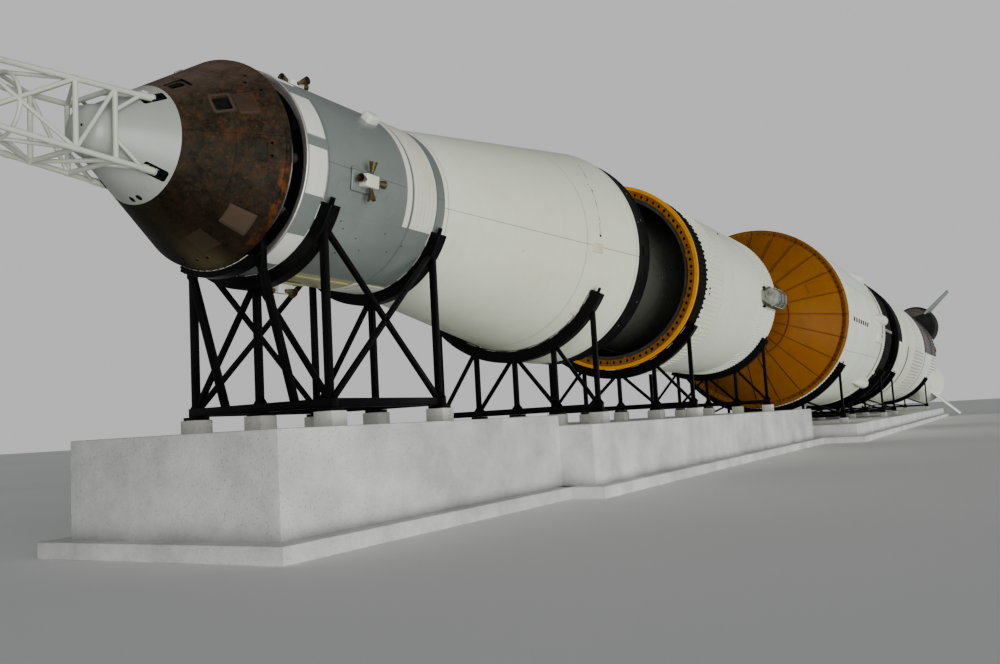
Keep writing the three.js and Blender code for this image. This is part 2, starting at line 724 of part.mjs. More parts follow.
function slantedCone(grow) {
  const length = FAIRING.aft - FAIRING.front;
  const cone = new THREE.CylinderGeometry(
    FAIRING.aftRadius + grow, FAIRING.frontRadius + grow, length + (grow ? 2 : 0), 24,
  );
  cone.rotateZ(-Math.PI / 2);
  const lean = (FAIRING.aftMiddle - FAIRING.frontMiddle) / length;
  cone.applyMatrix4(new THREE.Matrix4().set(1, 0, 0, 0, 0, 1, 0, 0, lean, 0, 1, 0, 0, 0, 0, 1));
  cone.translate(
    (FAIRING.front + FAIRING.aft) / 2, 0, (FAIRING.frontMiddle + FAIRING.aftMiddle) / 2,
  );
  return solid(cone);
}

function fairing() {
  const past = 50;
  const hull = solid(
    plainDrum(FAIRING.front - past, FAIRING.aft + past, WIDE_RADIUS + GAP, SIDES.wide),
  );
  const blade = fin(
    [[FIN.rootFront, FIN.rootRadius - FIN.rootSunk], [FIN.tipFront, FIN.tip], [FIN.aft, FIN.tip],
      [FIN.aft, FIN.rootRadius]].map(([behind, radius]) => [FIRST_AFT + behind, radius]),
    FIN.thick,
    90,
  );
  const inside = slantedCone(-FAIRING.wall).subtract(
    block(
      [FAIRING.front - past, FAIRING.front + FAIRING.closed],
      [-FAIRING.aftRadius, FAIRING.aftRadius],
      [0, FAIRING.frontMiddle + FAIRING.aftRadius],
    ),
  );
  return join([slantedCone(0), blade]).subtract(inside).subtract(hull);
}

// The cradles' steel: the sides of its square posts, base beams, thin braces and the saddles' width.
const STEEL = { post: 13, base: 17, brace: 10, saddle: 28, lap: 4 };

// One frame to a row: the saddle's depth and half span, and the outer post's offset, from the axis.
const WIDE_FRAME = { hull: WIDE_RADIUS, deep: 38, span: 57, offset: 418, base: -565, posts: 5 };
const CAPSULE_FRAME = { hull: CAPSULE_RADIUS, deep: 26, span: 66, offset: 170, base: -451, posts: 3 };
const THIRD_FRAME = { hull: THIRD_RADIUS, deep: 32, span: 56, offset: 272, base: -475, posts: 5 };
const CRADLES = [
  { name: "cradle_capsule", station: -393, ...CAPSULE_FRAME },
  { name: "cradle_service", station: -26, ...CAPSULE_FRAME },
  { name: "cradle_adapter", station: 650, ...THIRD_FRAME, hull: adapterRadius(664), span: 60, offset: 254 },
  { name: "cradle_third_front", station: 1450, ...THIRD_FRAME, hull: THIRD.ringOuter },
  { name: "cradle_third_rear", station: 2540, ...THIRD_FRAME },
  { name: "cradle_second_front", station: 3640, ...WIDE_FRAME },
  { name: "cradle_second_rear", station: 5330, ...WIDE_FRAME },
  { name: "cradle_first_front", station: 6010, ...WIDE_FRAME },
  { name: "cradle_first_rear", station: 8880, ...WIDE_FRAME },
];

// A curved saddle plate under a hull, with its span measured each way from straight down.
function saddle({ station, hull, deep, span }, thick) {
  const steps = 12;
  const step = (2 * span) / steps;
  const inside = (hull + 2 * GAP) / Math.cos(THREE.MathUtils.degToRad(step / 2));
  const at = (radius, i) => {
    const [y, z] = round(-90 - span + step * i, radius);
    return new THREE.Vector2(y, z);
  };
  const inner = Array.from({ length: steps + 1 }, (_, i) => at(inside, i));
  const outer = Array.from({ length: steps + 1 }, (_, i) => at(inside + deep, steps - i));
  const plate = new THREE.ExtrudeGeometry(new THREE.Shape([...inner, ...outer]), {
    depth: thick,
    bevelEnabled: false,
  });
  plate.rotateX(Math.PI / 2).rotateZ(Math.PI / 2);
  return solid(plate.translate(station - thick / 2, 0, 0));
}

const postPlaces = ({ offset, posts }) =>
  Array.from({ length: posts }, (_, i) => -offset + (2 * offset * i) / (posts - 1));
const postTop = ({ hull, deep }, y) => -Math.sqrt((hull + deep / 2) ** 2 - y ** 2);

function cradle(frame) {
  const { station, base, offset } = frame;
  const places = postPlaces(frame);
  const ends = offset + STEEL.post;
  const beams = [
    saddle(frame, STEEL.saddle),
    beam([-ends, base], [ends, base], station, STEEL.base, STEEL.base),
  ];
  places.forEach((y, i) => {
    beams.push(beam([y, base], [y, postTop(frame, y)], station, STEEL.post, STEEL.post));
    const outward = Math.sign(y);
    for (const way of outward === 0 ? [-1, 1] : [outward]) {
      const next = places[i + way];
      if (next !== undefined) {
        beams.push(
          beam(
            [y, postTop(frame, y) + STEEL.lap], [next, base + STEEL.lap], station,
            STEEL.brace, STEEL.brace,
          ),
        );
      }
    }
  });
  return beams;
}

// The first two frames are one cradle. Base beams and crossed braces join them, and raking
// struts rise from the first to a short shelf behind the cabin, with uprights in the gap there.
const SHELF = {
  station: -484, hull: CAPSULE_RADIUS + 0.5, deep: 12, span: 26, wide: 28, post: 15, strut: 9.2,
  knee: { station: -471, off: 88, height: -195 }, uprightTop: -127, stub: [-202, -175],
};

function capsuleCradle([front, rear]) {
  const bars = [...cradle(front), ...cradle(rear), saddle(SHELF, SHELF.wide)];
  const half = STEEL.base / 2;
  const braceRadius = STEEL.brace * Math.SQRT1_2;
  for (const side of [-1, 1]) {
    const y = side * front.offset;
    const foot = [front, rear].map(({ station, base }) => [station, y, base]);
    const head = [front, rear].map((frame) => [frame.station, y, postTop(frame, y)]);
    bars.push(
      block([front.station, rear.station], [y - half, y + half], [front.base - half, front.base + half]),
    );
    bars.push(bar(head[0], foot[1], braceRadius, 4));
    bars.push(bar(foot[0], head[1], braceRadius, 4));
    const { station, off, height } = SHELF.knee;
    const at = side * off;
    bars.push(bar([front.station, at, front.base], [station, at, height], SHELF.strut, 4));
    bars.push(
      beam([at, height - STEEL.lap], [at, SHELF.uprightTop], station, SHELF.post, SHELF.post),
    );
  }
  const [low, high] = SHELF.stub;
  bars.push(beam([0, low], [0, high], SHELF.knee.station, SHELF.post, SHELF.post));
  return join(bars);
}

// The plinth: two slabs on the floor, a raised bed under each group of sections, and a short block
// under every post.
const PLINTH = {
  thick: 30, margin: 40, block: 44, sunk: 2,
  beds: [
    { slab: "slab_front", from: -620, to: 400, half: 250, top: 206 },
    { slab: "slab_front", from: 400, to: 3170 - GAP, half: 340, top: 180 },
    { slab: "slab", from: 3250, to: 9300, half: 540, top: 92 },
  ],
};

function plinth(name) {
  const { thick, margin } = PLINTH;
  const beds = PLINTH.beds.filter(({ slab }) => slab === name);
  const parts = beds.flatMap(({ from, to, half, top }) => [
    block([from - margin, to + margin], [-half - margin, half + margin], [0, thick]),
    block([from, to], [-half, half], [0, top]),
  ]);
  for (const frame of CRADLES) {
    const { station } = frame;
    const bed = beds.find(({ from, to }) => from < station && station < to);
    if (!bed) continue;
    const half = PLINTH.block / 2;
    const tall = [bed.top - PLINTH.sunk, AXIS_HEIGHT + frame.base - STEEL.base / 2 - GAP];
    for (const y of postPlaces(frame)) {
      parts.push(block([station - half, station + half], [y - half, y + half], tall));
    }
  }
  return join(parts).translate([-CENTRE_STATION, 0, 0]);
}

// Everything is placed here, from nose to tail.
const turnTo = (mesh, angle) => {
  mesh.rotation.x = THREE.MathUtils.degToRad(90 - angle);
};

piece("escape_nose", "tower", escapeNose());
piece("escape_motor", "tower", escapeMotor());
piece("escape_tower", "tower", escapeTower());
piece("apex_cover", "cover", apexCover());
piece("cabin_shell", "char", cabinShell());
piece("cabin_hatch", "char", cabinHatch());
piece("service_ring", "white", serviceRing());
piece("service_body", "grey", serviceBody());
QUAD.angles.forEach((angle, i) =>
  turnTo(piece("thruster_quad_" + (i + 1), "white", thrusterQuad()), angle));
piece("service_engine", "bell", serviceEngine());
piece("adapter", "white", adapterShell());
piece("instrument_ring", "black", instrumentRing());
piece("third_front_ring", "orange", thirdFrontRing());
piece("third_front_dome", "primer", thirdFrontDome());
piece("third_barrel", "white", thirdBarrel());
piece("third_thrust_cone", "primer", thirdThrustCone());
POD.angles.forEach((angle, i) =>
  turnTo(piece("third_pod_" + (i + 1), "silver", thirdPod()), angle));
piece("second_front_cover", "orange", secondFrontCover());
piece("second_barrel", "white", secondBarrel());
piece("second_base", "black", secondBase());
piece("first_barrel", "white", firstBarrel());
piece("first_base", "white", firstBase());
CORNERS.forEach((corner, i) =>
  turnTo(piece("first_fairing_" + (i + 1), "white", fairing()), corner));

placeEngine("third", null, SMALL_ENGINE, THIRD_GIMBAL, null);
placeEngine("second", "centre", SMALL_ENGINE, SECOND_GIMBAL, null);
placeEngine("first", "centre", BIG_ENGINE, FIRST_GIMBAL, null);
CORNERS.forEach((corner, i) => {
  placeEngine("second", i + 1, SMALL_ENGINE, SECOND_GIMBAL, corner);
  placeEngine("first", i + 1, BIG_ENGINE, FIRST_GIMBAL, corner);
});

piece("cradle_capsule", "black", capsuleCradle(CRADLES.slice(0, 2)));
for (const frame of CRADLES.slice(2)) piece(frame.name, "black", join(cradle(frame)));
for (const name of ["slab_front", "slab"]) piece(name, "concrete", plinth(name), display);

export default display;
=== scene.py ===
"""Finishes a 1:10 space rocket that lies in its sections on steel cradles.

Metres. X runs from nose to tail and Z is up. A station is a distance along the rocket's axis,
0 where the service section meets the adapter. An angle round the axis is in degrees, 0 on the
near side and 90 on top.
"""
import json
import math

import bmesh
import bpy
from mathutils import Matrix, Vector


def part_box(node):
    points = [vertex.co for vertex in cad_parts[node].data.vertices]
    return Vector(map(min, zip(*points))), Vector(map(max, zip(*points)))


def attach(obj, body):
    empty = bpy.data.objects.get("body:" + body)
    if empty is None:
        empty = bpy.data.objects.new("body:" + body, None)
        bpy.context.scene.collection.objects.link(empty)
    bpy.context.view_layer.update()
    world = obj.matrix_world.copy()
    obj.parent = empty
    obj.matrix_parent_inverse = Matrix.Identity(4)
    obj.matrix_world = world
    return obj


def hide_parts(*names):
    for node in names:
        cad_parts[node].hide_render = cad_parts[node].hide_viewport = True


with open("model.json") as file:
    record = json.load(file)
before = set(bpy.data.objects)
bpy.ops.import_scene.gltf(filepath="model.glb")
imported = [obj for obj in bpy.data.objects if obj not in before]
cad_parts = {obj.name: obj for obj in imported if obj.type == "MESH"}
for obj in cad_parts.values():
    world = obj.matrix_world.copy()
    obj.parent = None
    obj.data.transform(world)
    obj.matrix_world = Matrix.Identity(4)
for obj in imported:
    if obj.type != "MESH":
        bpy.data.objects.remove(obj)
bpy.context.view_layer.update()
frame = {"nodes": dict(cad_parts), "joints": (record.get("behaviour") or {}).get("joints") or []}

bl_info = {
    "name": "Space rocket finish",
    "version": (1, 0, 0),
    "blender": (4, 5, 0),
    "location": "3D View > Sidebar > Rocket",
    "description": "Models and paints the pieces of a space rocket on its cradles",
    "category": "Object",
}

# The axis, and where station 0 is, come from the frame.
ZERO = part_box("adapter")[0].x
AXIS_HEIGHT = (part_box("adapter")[0].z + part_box("adapter")[1].z) / 2
AXIS = Matrix.Translation((ZERO, 0, AXIS_HEIGHT))
# What pieces that touch keep between them.
GAP = 0.0003


def ends(node):
    """The first and last station of a node, and its radius."""
    low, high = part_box(node)
    return low.x - ZERO, high.x - ZERO, (high.z - low.z) / 2


CABIN_RADIUS = ends("service_body")[2]
THIRD_RADIUS = ends("instrument_ring")[2]
WIDE_RADIUS = ends("first_base")[2]
CORNERS = (45, 135, 225, 315)
# Turns an outline's XY plane into the plane through the axis.
UPRIGHT = Matrix(((1, 0, 0, 0), (0, 0, -1, 0), (0, 1, 0, 0), (0, 0, 0, 1)))


class RocketColours(bpy.types.PropertyGroup):
    """The paints and metals, as linear colours."""

    def shade(name, description, value):
        return bpy.props.FloatVectorProperty(
            name=name, description=description, default=value, size=3, min=0, max=1, subtype="COLOR"
        )

    white: shade("White", "Hull paint", (0.75, 0.80, 0.70))
    grey: shade("Grey", "Service section paint", (0.17, 0.195, 0.18))
    black: shade("Black", "Stripe paint", (0.0022, 0.0023, 0.0024))
    orange: shade("Orange", "Cover and ring paint", (0.200, 0.068, 0.0008))
    tower: shade("Tower", "Escape tower paint", (0.50, 0.53, 0.44))
    cover: shade("Cover", "Apex cover paint", (0.35, 0.37, 0.34))
    char: shade("Char", "Scorched shell", (0.012, 0.0082, 0.0048))
    rust: shade("Rust", "Scorched shell where it is burnt brown", (0.062, 0.024, 0.0075))
    silver: shade("Silver", "Bare metal", (0.50, 0.51, 0.50))
    bell: shade("Bell", "Engine metal", (0.16, 0.14, 0.12))
    inside: shade("Inside", "Bare inner walls", (0.022, 0.021, 0.018))
    steel: shade("Steel", "Cradle paint", (0.0016, 0.0016, 0.0019))
    concrete: shade("Concrete", "Plinth and blocks", (0.55, 0.55, 0.53))


class RocketSizes(bpy.types.PropertyGroup):
    """Sizes of the small forms."""

    def length(name, description, value):
        return bpy.props.FloatProperty(
            name=name, description=description, default=value, min=0, unit="LENGTH"
        )

    rib: length("Rib height", "How far a hull's ribs stand out", 0.0028)
    post: length("Post", "Side of the cradles' square posts", 0.013)
    beam: length("Beam", "Side of the cradles' base beams", 0.017)
    brace: length("Brace", "Side of the cradles' braces", 0.010)
    saddle: length("Saddle", "Width of the saddles", 0.028)


class RocketStage(bpy.types.PropertyGroup):
    """The floor and the lights."""

    def strength(name, description, value):
        return bpy.props.FloatProperty(name=name, description=description, default=value, min=0)

    floor: bpy.props.FloatVectorProperty(
        name="Floor", description="Floor colour", default=(0.80, 0.80, 0.79), size=3,
        min=0, max=1, subtype="COLOR",
    )
    backdrop: strength("Backdrop", "Brightness behind the object", 0.62)
    key: strength("Key", "Strength of the main light", 3.5)
    fill: strength("Fill", "Strength of the second light", 0.30)
    sky: strength("Sky", "Strength of the soft light", 0.42)


# Node trees


class Nodes:
    """Short calls that add nodes to a tree. An input is a value or another node's output."""

    def __init__(self, tree):
        self.tree = tree

    def add(self, kind, inputs=None, **settings):
        node = self.tree.nodes.new(kind if kind.startswith("NodeGroup") else "ShaderNode" + kind)
        for key, value in settings.items():
            setattr(node, key, value)
        for key, value in (inputs or {}).items():
            if isinstance(value, bpy.types.NodeSocket):
                self.tree.links.new(value, node.inputs[key])
            else:
                node.inputs[key].default_value = value
        return node

    def math(self, operation, first, second=0.0, third=0.0, clamp=False):
        inputs = {0: first, 1: second, 2: third}
        return self.add("Math", inputs, operation=operation, use_clamp=clamp).outputs[0]

    def mix(self, share, first, second, blend="MIX"):
        inputs = {0: share, 6: first, 7: second}
        return self.add("Mix", inputs, data_type="RGBA", blend_type=blend).outputs[2]

    def noise(self, place, scale, detail=4.0, roughness=0.55, stretch=None, distortion=0.0):
        if stretch:
            place = self.add("Mapping", {"Vector": place, "Scale": stretch}).outputs[0]
        inputs = {
            "Vector": place, "Scale": scale, "Detail": detail, "Roughness": roughness,
            "Distortion": distortion,
        }
        return self.add("TexNoise", inputs).outputs[0]

    def ramp(self, value, low, high, to_low=0.0, to_high=1.0, smooth=False):
        inputs = {"Value": value, "From Min": low, "From Max": high, "To Min": to_low, "To Max": to_high}
        kind = "SMOOTHSTEP" if smooth else "LINEAR"
        return self.add("MapRange", inputs, interpolation_type=kind).outputs[0]

    def effect(self, group, **inputs):
        """One of the shared effects. A word's underscores stand for spaces in its sockets."""
        inputs = {key.replace("_", " "): value for key, value in inputs.items()}
        return self.add("Group", inputs, node_tree=bpy.data.node_groups[group]).outputs


def shared_effect(name, inputs, outputs, build):
    """A shader node group with named sockets: numbers are values, three of them a colour."""
    tree = bpy.data.node_groups.new(name, "ShaderNodeTree")
    for key, value in inputs.items():
        kind = "NodeSocketFloat"
        if isinstance(value, tuple):
            kind = "NodeSocketColor" if len(value) == 4 else "NodeSocketVector"
        socket = tree.interface.new_socket(key, in_out="INPUT", socket_type=kind)
        socket.default_value = value
    for key in outputs:
        kind = "NodeSocketColor" if key == "Color" else "NodeSocketFloat"
        tree.interface.new_socket(key, in_out="OUTPUT", socket_type=kind)
    nodes = Nodes(tree)
    start = nodes.add("NodeGroupInput").outputs
    nodes.add("NodeGroupOutput", dict(zip(outputs, build(nodes, start))))


def build_round_axis(nodes, start):
    place = nodes.add("TexCoord").outputs["Object"]
    x, y, z = nodes.add("SeparateXYZ", {0: place}).outputs
    station = nodes.math("SUBTRACT", x, ZERO)
    up = nodes.math("SUBTRACT", z, AXIS_HEIGHT)
    near = nodes.math("MULTIPLY", y, -1.0)
    angle = nodes.math("DEGREES", nodes.math("ARCTAN2", up, near))
    radius = nodes.math("SQRT", nodes.math("MULTIPLY_ADD", up, up, nodes.math("MULTIPLY", near, near)))
    return station, angle, radius


def build_band(nodes, start):
    soft = start["Soft"]
    rise = nodes.ramp(start["Value"], nodes.math("SUBTRACT", start["From"], soft),
                      nodes.math("ADD", start["From"], soft))
    fall = nodes.ramp(start["Value"], nodes.math("SUBTRACT", start["To"], soft),
                      nodes.math("ADD", start["To"], soft), 1.0, 0.0)
    return (nodes.math("MULTIPLY", rise, fall),)


def build_seams(nodes, start):
    offset = nodes.math("SUBTRACT", start["Value"], start["Start"])
    half = nodes.math("MULTIPLY", start["Spacing"], 0.5)
    wrapped = nodes.math("WRAP", offset, half, nodes.math("MULTIPLY", half, -1.0))
    away = nodes.math("ABSOLUTE", wrapped)
    edge = nodes.math("MULTIPLY", start["Half Width"], 1.6)
    return (nodes.ramp(away, start["Half Width"], edge, 1.0, 0.0),)


def build_rivets(nodes, start):
    def off(value, pitch):
        half = nodes.math("MULTIPLY", pitch, 0.5)
        return nodes.math("WRAP", value, half, nodes.math("MULTIPLY", half, -1.0))

    along = off(start["Along"], start["Pitch"])
    across = start["Across"]
    squares = nodes.math("MULTIPLY_ADD", along, along, nodes.math("MULTIPLY", across, across))
    away = nodes.math("SQRT", squares)
    return (nodes.ramp(away, nodes.math("MULTIPLY", start["Size"], 0.6), start["Size"], 1.0, 0.0),)


def build_grime(nodes, start):
    coarse = nodes.noise(start["Place"], start["Scale"], 6.0, 0.62)
    fine = nodes.noise(start["Place"], nodes.math("MULTIPLY", start["Scale"], 9.0), 4.0, 0.6)
    both = nodes.math("MULTIPLY_ADD", fine, 0.35, nodes.math("MULTIPLY", coarse, 0.65))
    mask = nodes.math("MULTIPLY", nodes.ramp(both, 0.46, 0.72, smooth=True), start["Amount"], clamp=True)
    return nodes.mix(mask, start["Color"], start["Dirt"]), mask


def build_chips(nodes, start):
    spots = nodes.noise(start["Place"], start["Scale"], 8.0, 0.7)
    fine = nodes.noise(start["Place"], nodes.math("MULTIPLY", start["Scale"], 4.3), 3.0, 0.6)
    both = nodes.math("MULTIPLY_ADD", fine, 0.3, nodes.math("MULTIPLY", spots, 0.7))
    edge = nodes.math("SUBTRACT", 0.80, nodes.math("MULTIPLY", start["Amount"], 0.3))
    return (nodes.ramp(both, edge, nodes.math("ADD", edge, 0.02)),)


def make_effects():
    """The effects that several materials share."""
    shared_effect("Round the axis", {}, ["Station", "Angle", "Radius"], build_round_axis)
    shared_effect("Band", {"Value": 0.0, "From": 0.0, "To": 1.0, "Soft": 0.0005}, ["Mask"], build_band)
    shared_effect(
        "Seams", {"Value": 0.0, "Spacing": 1.0, "Start": 0.0, "Half Width": 0.001}, ["Mask"], build_seams
    )
    shared_effect(
        "Rivets", {"Along": 0.0, "Across": 0.0, "Pitch": 0.01, "Size": 0.001}, ["Mask"], build_rivets
    )
    shared_effect(
        "Grime",
        {
            "Color": (0.8, 0.8, 0.8, 1), "Dirt": (0.2, 0.17, 0.12, 1), "Place": (0.0, 0.0, 0.0),
            "Scale": 3.0, "Amount": 0.5,
        },
        ["Color", "Mask"], build_grime,
    )
    shared_effect("Chips", {"Place": (0.0, 0.0, 0.0), "Scale": 30.0, "Amount": 0.2}, ["Mask"], build_chips)


# Materials


class Paint(Nodes):
    """A material in the making, with its Principled shader and the place on the surface."""

    def __init__(self, name, **plain):
        self.material = bpy.data.materials.new(name)
        self.material.use_nodes = True
        super().__init__(self.material.node_tree)
        self.shader = self.tree.nodes["Principled BSDF"]
        for key, value in plain.items():
            self.shader.inputs[key.replace("_", " ")].default_value = value
        self.place = self.add("TexCoord").outputs["Object"]

    def done(self, color, roughness=None, height=None, distance=0.001, **more):
        links = {"Base Color": color, "Roughness": roughness, **more}
        if height is not None:
            links["Normal"] = self.add("Bump", {"Height": height, "Distance": distance}).outputs[0]
        for key, value in links.items():
            if value is not None:
                self.tree.links.new(value, self.shader.inputs[key.replace("_", " ")])
        return self.material


def full(color, share=1.0):
    """A colour with its alpha, darkened or lightened by a share."""
    return tuple(min(1.0, part * share) for part in color) + (1.0,)


def hull_paint(name, color, rings=(), gores=0.0, gore_start=0.0, patches=(), dirt=0.35, grime_scale=1.6,
               roughness=0.36, dirt_color=(0.30, 0.27, 0.17), seam=0.0006, rivet_pitch=0.011):
    """Painted sheet round the axis: ring seams with rivets at stations, lengthwise seams every
    so many degrees, patches of other colours, a little grime and shallow dents. A patch is
    (first station, last station, low angle, high angle, colour)."""
    paint = Paint(name, Coat_Weight=0.12, Coat_Roughness=0.3)
    station, angle, radius = paint.effect("Round the axis").values()
    arc = paint.math("MULTIPLY", paint.math("RADIANS", angle), radius)
    shade = full(color)
    for first, last, low, high, other in patches:
        lengthwise = paint.effect("Band", Value=station, From=first, To=last)[0]
        across = paint.effect("Band", Value=angle, From=low, To=high, Soft=0.12)[0]
        shade = paint.mix(paint.math("MULTIPLY", lengthwise, across), shade, full(other))
    cloud = paint.noise(paint.place, grime_scale * 0.6, 3.0)
    shade = paint.mix(paint.ramp(cloud, 0.35, 0.7, 0.0, 0.45), shade, full(dirt_color, 2.0), "MULTIPLY")
    streaky = paint.noise(paint.place, 7.0, 5.0, 0.6, stretch=(3.0, 1.0, 0.25))
    shade = paint.mix(paint.ramp(streaky, 0.5, 0.85, 0.0, dirt * 0.5), shade, full(dirt_color))
    grime = paint.effect("Grime", Color=shade, Dirt=full(dirt_color), Place=paint.place,
                         Scale=grime_scale * 3, Amount=dirt * 0.5)
    marks = None
    rivets = None
    for ring in rings:
        off = paint.math("SUBTRACT", station, ring)
        line = paint.effect("Band", Value=off, From=-seam, To=seam, Soft=seam * 0.5)[0]
        marks = line if marks is None else paint.math("MAXIMUM", marks, line)
        for side in (-1, 1):
            row = paint.math("ADD", off, side * seam * 8)
            dots = paint.effect("Rivets", Along=arc, Across=row, Pitch=rivet_pitch, Size=0.0011)[0]
            rivets = dots if rivets is None else paint.math("MAXIMUM", rivets, dots)
    if gores:
        width = math.degrees(seam / WIDE_RADIUS) * 1.2
        line = paint.effect("Seams", Value=angle, Spacing=gores, Start=gore_start, Half_Width=width)[0]
        marks = line if marks is None else paint.math("MAXIMUM", marks, line)
    shade = grime[0]
    height = paint.math("MULTIPLY", paint.noise(paint.place, 11.0, 2.0), 0.35)
    if marks is not None:
        shade = paint.mix(paint.math("MULTIPLY", marks, 0.75), shade, full(dirt_color, 0.25))
        height = paint.math("SUBTRACT", height, marks)
    if rivets is not None:
        shade = paint.mix(paint.math("MULTIPLY", rivets, 0.3), shade, full(dirt_color, 0.5))
        height = paint.math("MULTIPLY_ADD", rivets, 0.7, height)
    rough = paint.math("MULTIPLY_ADD", grime[1], 0.3, roughness)
    return paint.done(shade, rough, height, 0.0012)


def worn_paint(name, color, roughness, chip=None, chips=0.2, dirt=(0.12, 0.10, 0.07), amount=0.4,
               scale=12.0, coat=0.0, bump=0.0003, gloss=0.5):
    """Plain worn paint with chips that show what lies under it, and dirt in patches."""
    paint = Paint(name, Coat_Weight=coat, Coat_Roughness=0.15, Specular_IOR_Level=gloss)
    grime = paint.effect("Grime", Color=full(color), Dirt=full(dirt), Place=paint.place,
                         Scale=scale, Amount=amount)
    shade = grime[0]
    height = wave = paint.noise(paint.place, scale * 1.7, 5.0, 0.6)
    if chip:
        mask = paint.effect("Chips", Place=paint.place, Scale=scale * 3, Amount=chips)[0]
        shade = paint.mix(mask, shade, full(chip))
        height = paint.math("SUBTRACT", wave, mask)
    rough = paint.ramp(wave, 0.3, 0.75, roughness - 0.08, roughness + 0.14)
    return paint.done(shade, rough, height, bump)


def charred_paint(colours):
    """A scorched heat shield: olive and black blotches in faint tiles, burnt brown and tan spots, redder on
    top, with a painted highlight that makes its top paler, painted shade that darkens its underside and a
    painted olive-gold glint low near its base."""
    paint = Paint("charred shell", Specular_IOR_Level=0.06)
    station, angle, _ = paint.effect("Round the axis").values()
    blotches = paint.noise(paint.place, 23.0, 10.0, 0.76, distortion=0.15)
    fine = paint.noise(paint.place, 105.0, 7.0, 0.78)
    both = paint.math("MULTIPLY_ADD", fine, 0.5, paint.math("MULTIPLY", blotches, 0.5))
    dark = full(colours.char, 0.35)
    olive = (0.034, 0.029, 0.016)
    shade = paint.mix(paint.ramp(both, 0.41, 0.60), dark, full(olive))
    tiles = paint.add("CombineXYZ", {0: paint.math("MULTIPLY", station, 52.0),
                                     1: paint.math("DIVIDE", angle, 6.2)}).outputs[0]
    cells = paint.add("TexVoronoi", {"Vector": tiles, "Scale": 1.0, "Randomness": 0.75},
                      distance="CHEBYCHEV", voronoi_dimensions="2D").outputs
    tone = paint.add("SeparateColor", {0: cells["Color"]}).outputs[0]
    shade = paint.mix(paint.ramp(tone, 0.3, 1.0, 0.0, 0.28), shade, full(colours.char, 2.6))
    burnt = paint.noise(paint.place, 38.0, 9.0, 0.76, distortion=0.2)
    warm = paint.math("MULTIPLY", paint.ramp(burnt, 0.50, 0.62),
                      paint.ramp(angle, -75.0, 10.0, 0.2, 0.8))
    shade = paint.mix(warm, shade, full(colours.rust))
    tan = paint.noise(paint.place, 120.0, 5.0, 0.72)
    shade = paint.mix(paint.ramp(tan, 0.58, 0.70, 0.0, 0.5), shade, full(colours.rust, 2.0))
    rim = paint.effect("Band", Value=station, From=-0.519, To=-0.498, Soft=0.003)[0]
    low = paint.effect("Band", Value=angle, From=-66.0, To=-12.0, Soft=8.0)[0]
    spots = paint.math("MULTIPLY", low, paint.ramp(paint.noise(paint.place, 30.0, 6.0, 0.7), 0.50, 0.60))
    shade = paint.mix(paint.math("MULTIPLY", rim, spots), shade, full((0.13, 0.042, 0.008)))
    # Painted highlight: the top of the shell is made paler, as if lit from above.
    top = paint.math("MULTIPLY", paint.ramp(angle, 25.0, 80.0, smooth=True),
                     paint.ramp(blotches, 0.3, 0.65, 0.35, 1.0))
    shade = paint.mix(paint.math("MULTIPLY", top, 0.75), shade, full((0.150, 0.100, 0.078)))
    # Painted shade: the shell darkens towards its underside.
    shade = paint.mix(paint.ramp(angle, -62.0, -8.0, 0.62, 0.0, smooth=True), shade, dark)
    # Painted glint: an olive-gold shine low on the shell near its base, which is also made less rough.
    painted_glint = paint.effect("Band", Value=angle, From=-98.0, To=-76.0, Soft=6.0)[0]
    painted_glint = paint.math("MULTIPLY", painted_glint, paint.ramp(station, -0.60, -0.53, 0.1, 1.0))
    shade = paint.mix(paint.math("MULTIPLY", painted_glint, 0.6), shade, full((0.085, 0.072, 0.030)))
    height = paint.math("MULTIPLY_ADD", tan, 0.4, both)
    for first, last, low, high, tone, share in (
        (-0.576, -0.545, 17.5, 33.0, (0.080, 0.055, 0.040), 0.5),
        (-0.5735, -0.5475, 18.8, 31.7, (0.030, 0.021, 0.015), 0.75),
        (-0.574, -0.530, -56.0, -41.5, (0.115, 0.080, 0.052), 0.60),
        (-0.5715, -0.5325, -54.8, -42.7, (0.066, 0.046, 0.031), 0.70),
        (-0.585, -0.545, -84.0, -69.0, (0.045, 0.031, 0.021), 0.7),
        (-0.560, -0.542, -11.0, 2.0, (0.012, 0.010, 0.008), 0.7),
    ):
        lengthwise = paint.effect("Band", Value=station, From=first, To=last, Soft=0.0008)[0]
        across = paint.effect("Band", Value=angle, From=low, To=high, Soft=0.3)[0]
        patch = paint.math("MULTIPLY", lengthwise, across)
        worn = paint.math("MULTIPLY", patch, paint.ramp(both, 0.25, 0.6, share, share * 0.6))
        shade = paint.mix(worn, shade, full(tone))
        height = paint.math("MULTIPLY_ADD", patch, 0.8, height)
    seams = paint.effect("Seams", Value=angle, Spacing=45.0, Start=4.0, Half_Width=0.10)[0]
    rings = paint.effect("Seams", Value=station, Spacing=0.0755, Start=-0.663, Half_Width=0.0003)[0]
    lines = paint.math("MAXIMUM", seams, rings)
    shade = paint.mix(paint.math("MULTIPLY", lines, 0.3), shade, dark)
    height = paint.math("MULTIPLY_ADD", lines, -0.4, height)
    rough = paint.math("MULTIPLY_ADD", painted_glint, -0.2, paint.ramp(fine, 0.3, 0.7, 0.40, 0.66))
    return paint.done(shade, rough, height, 0.0011)


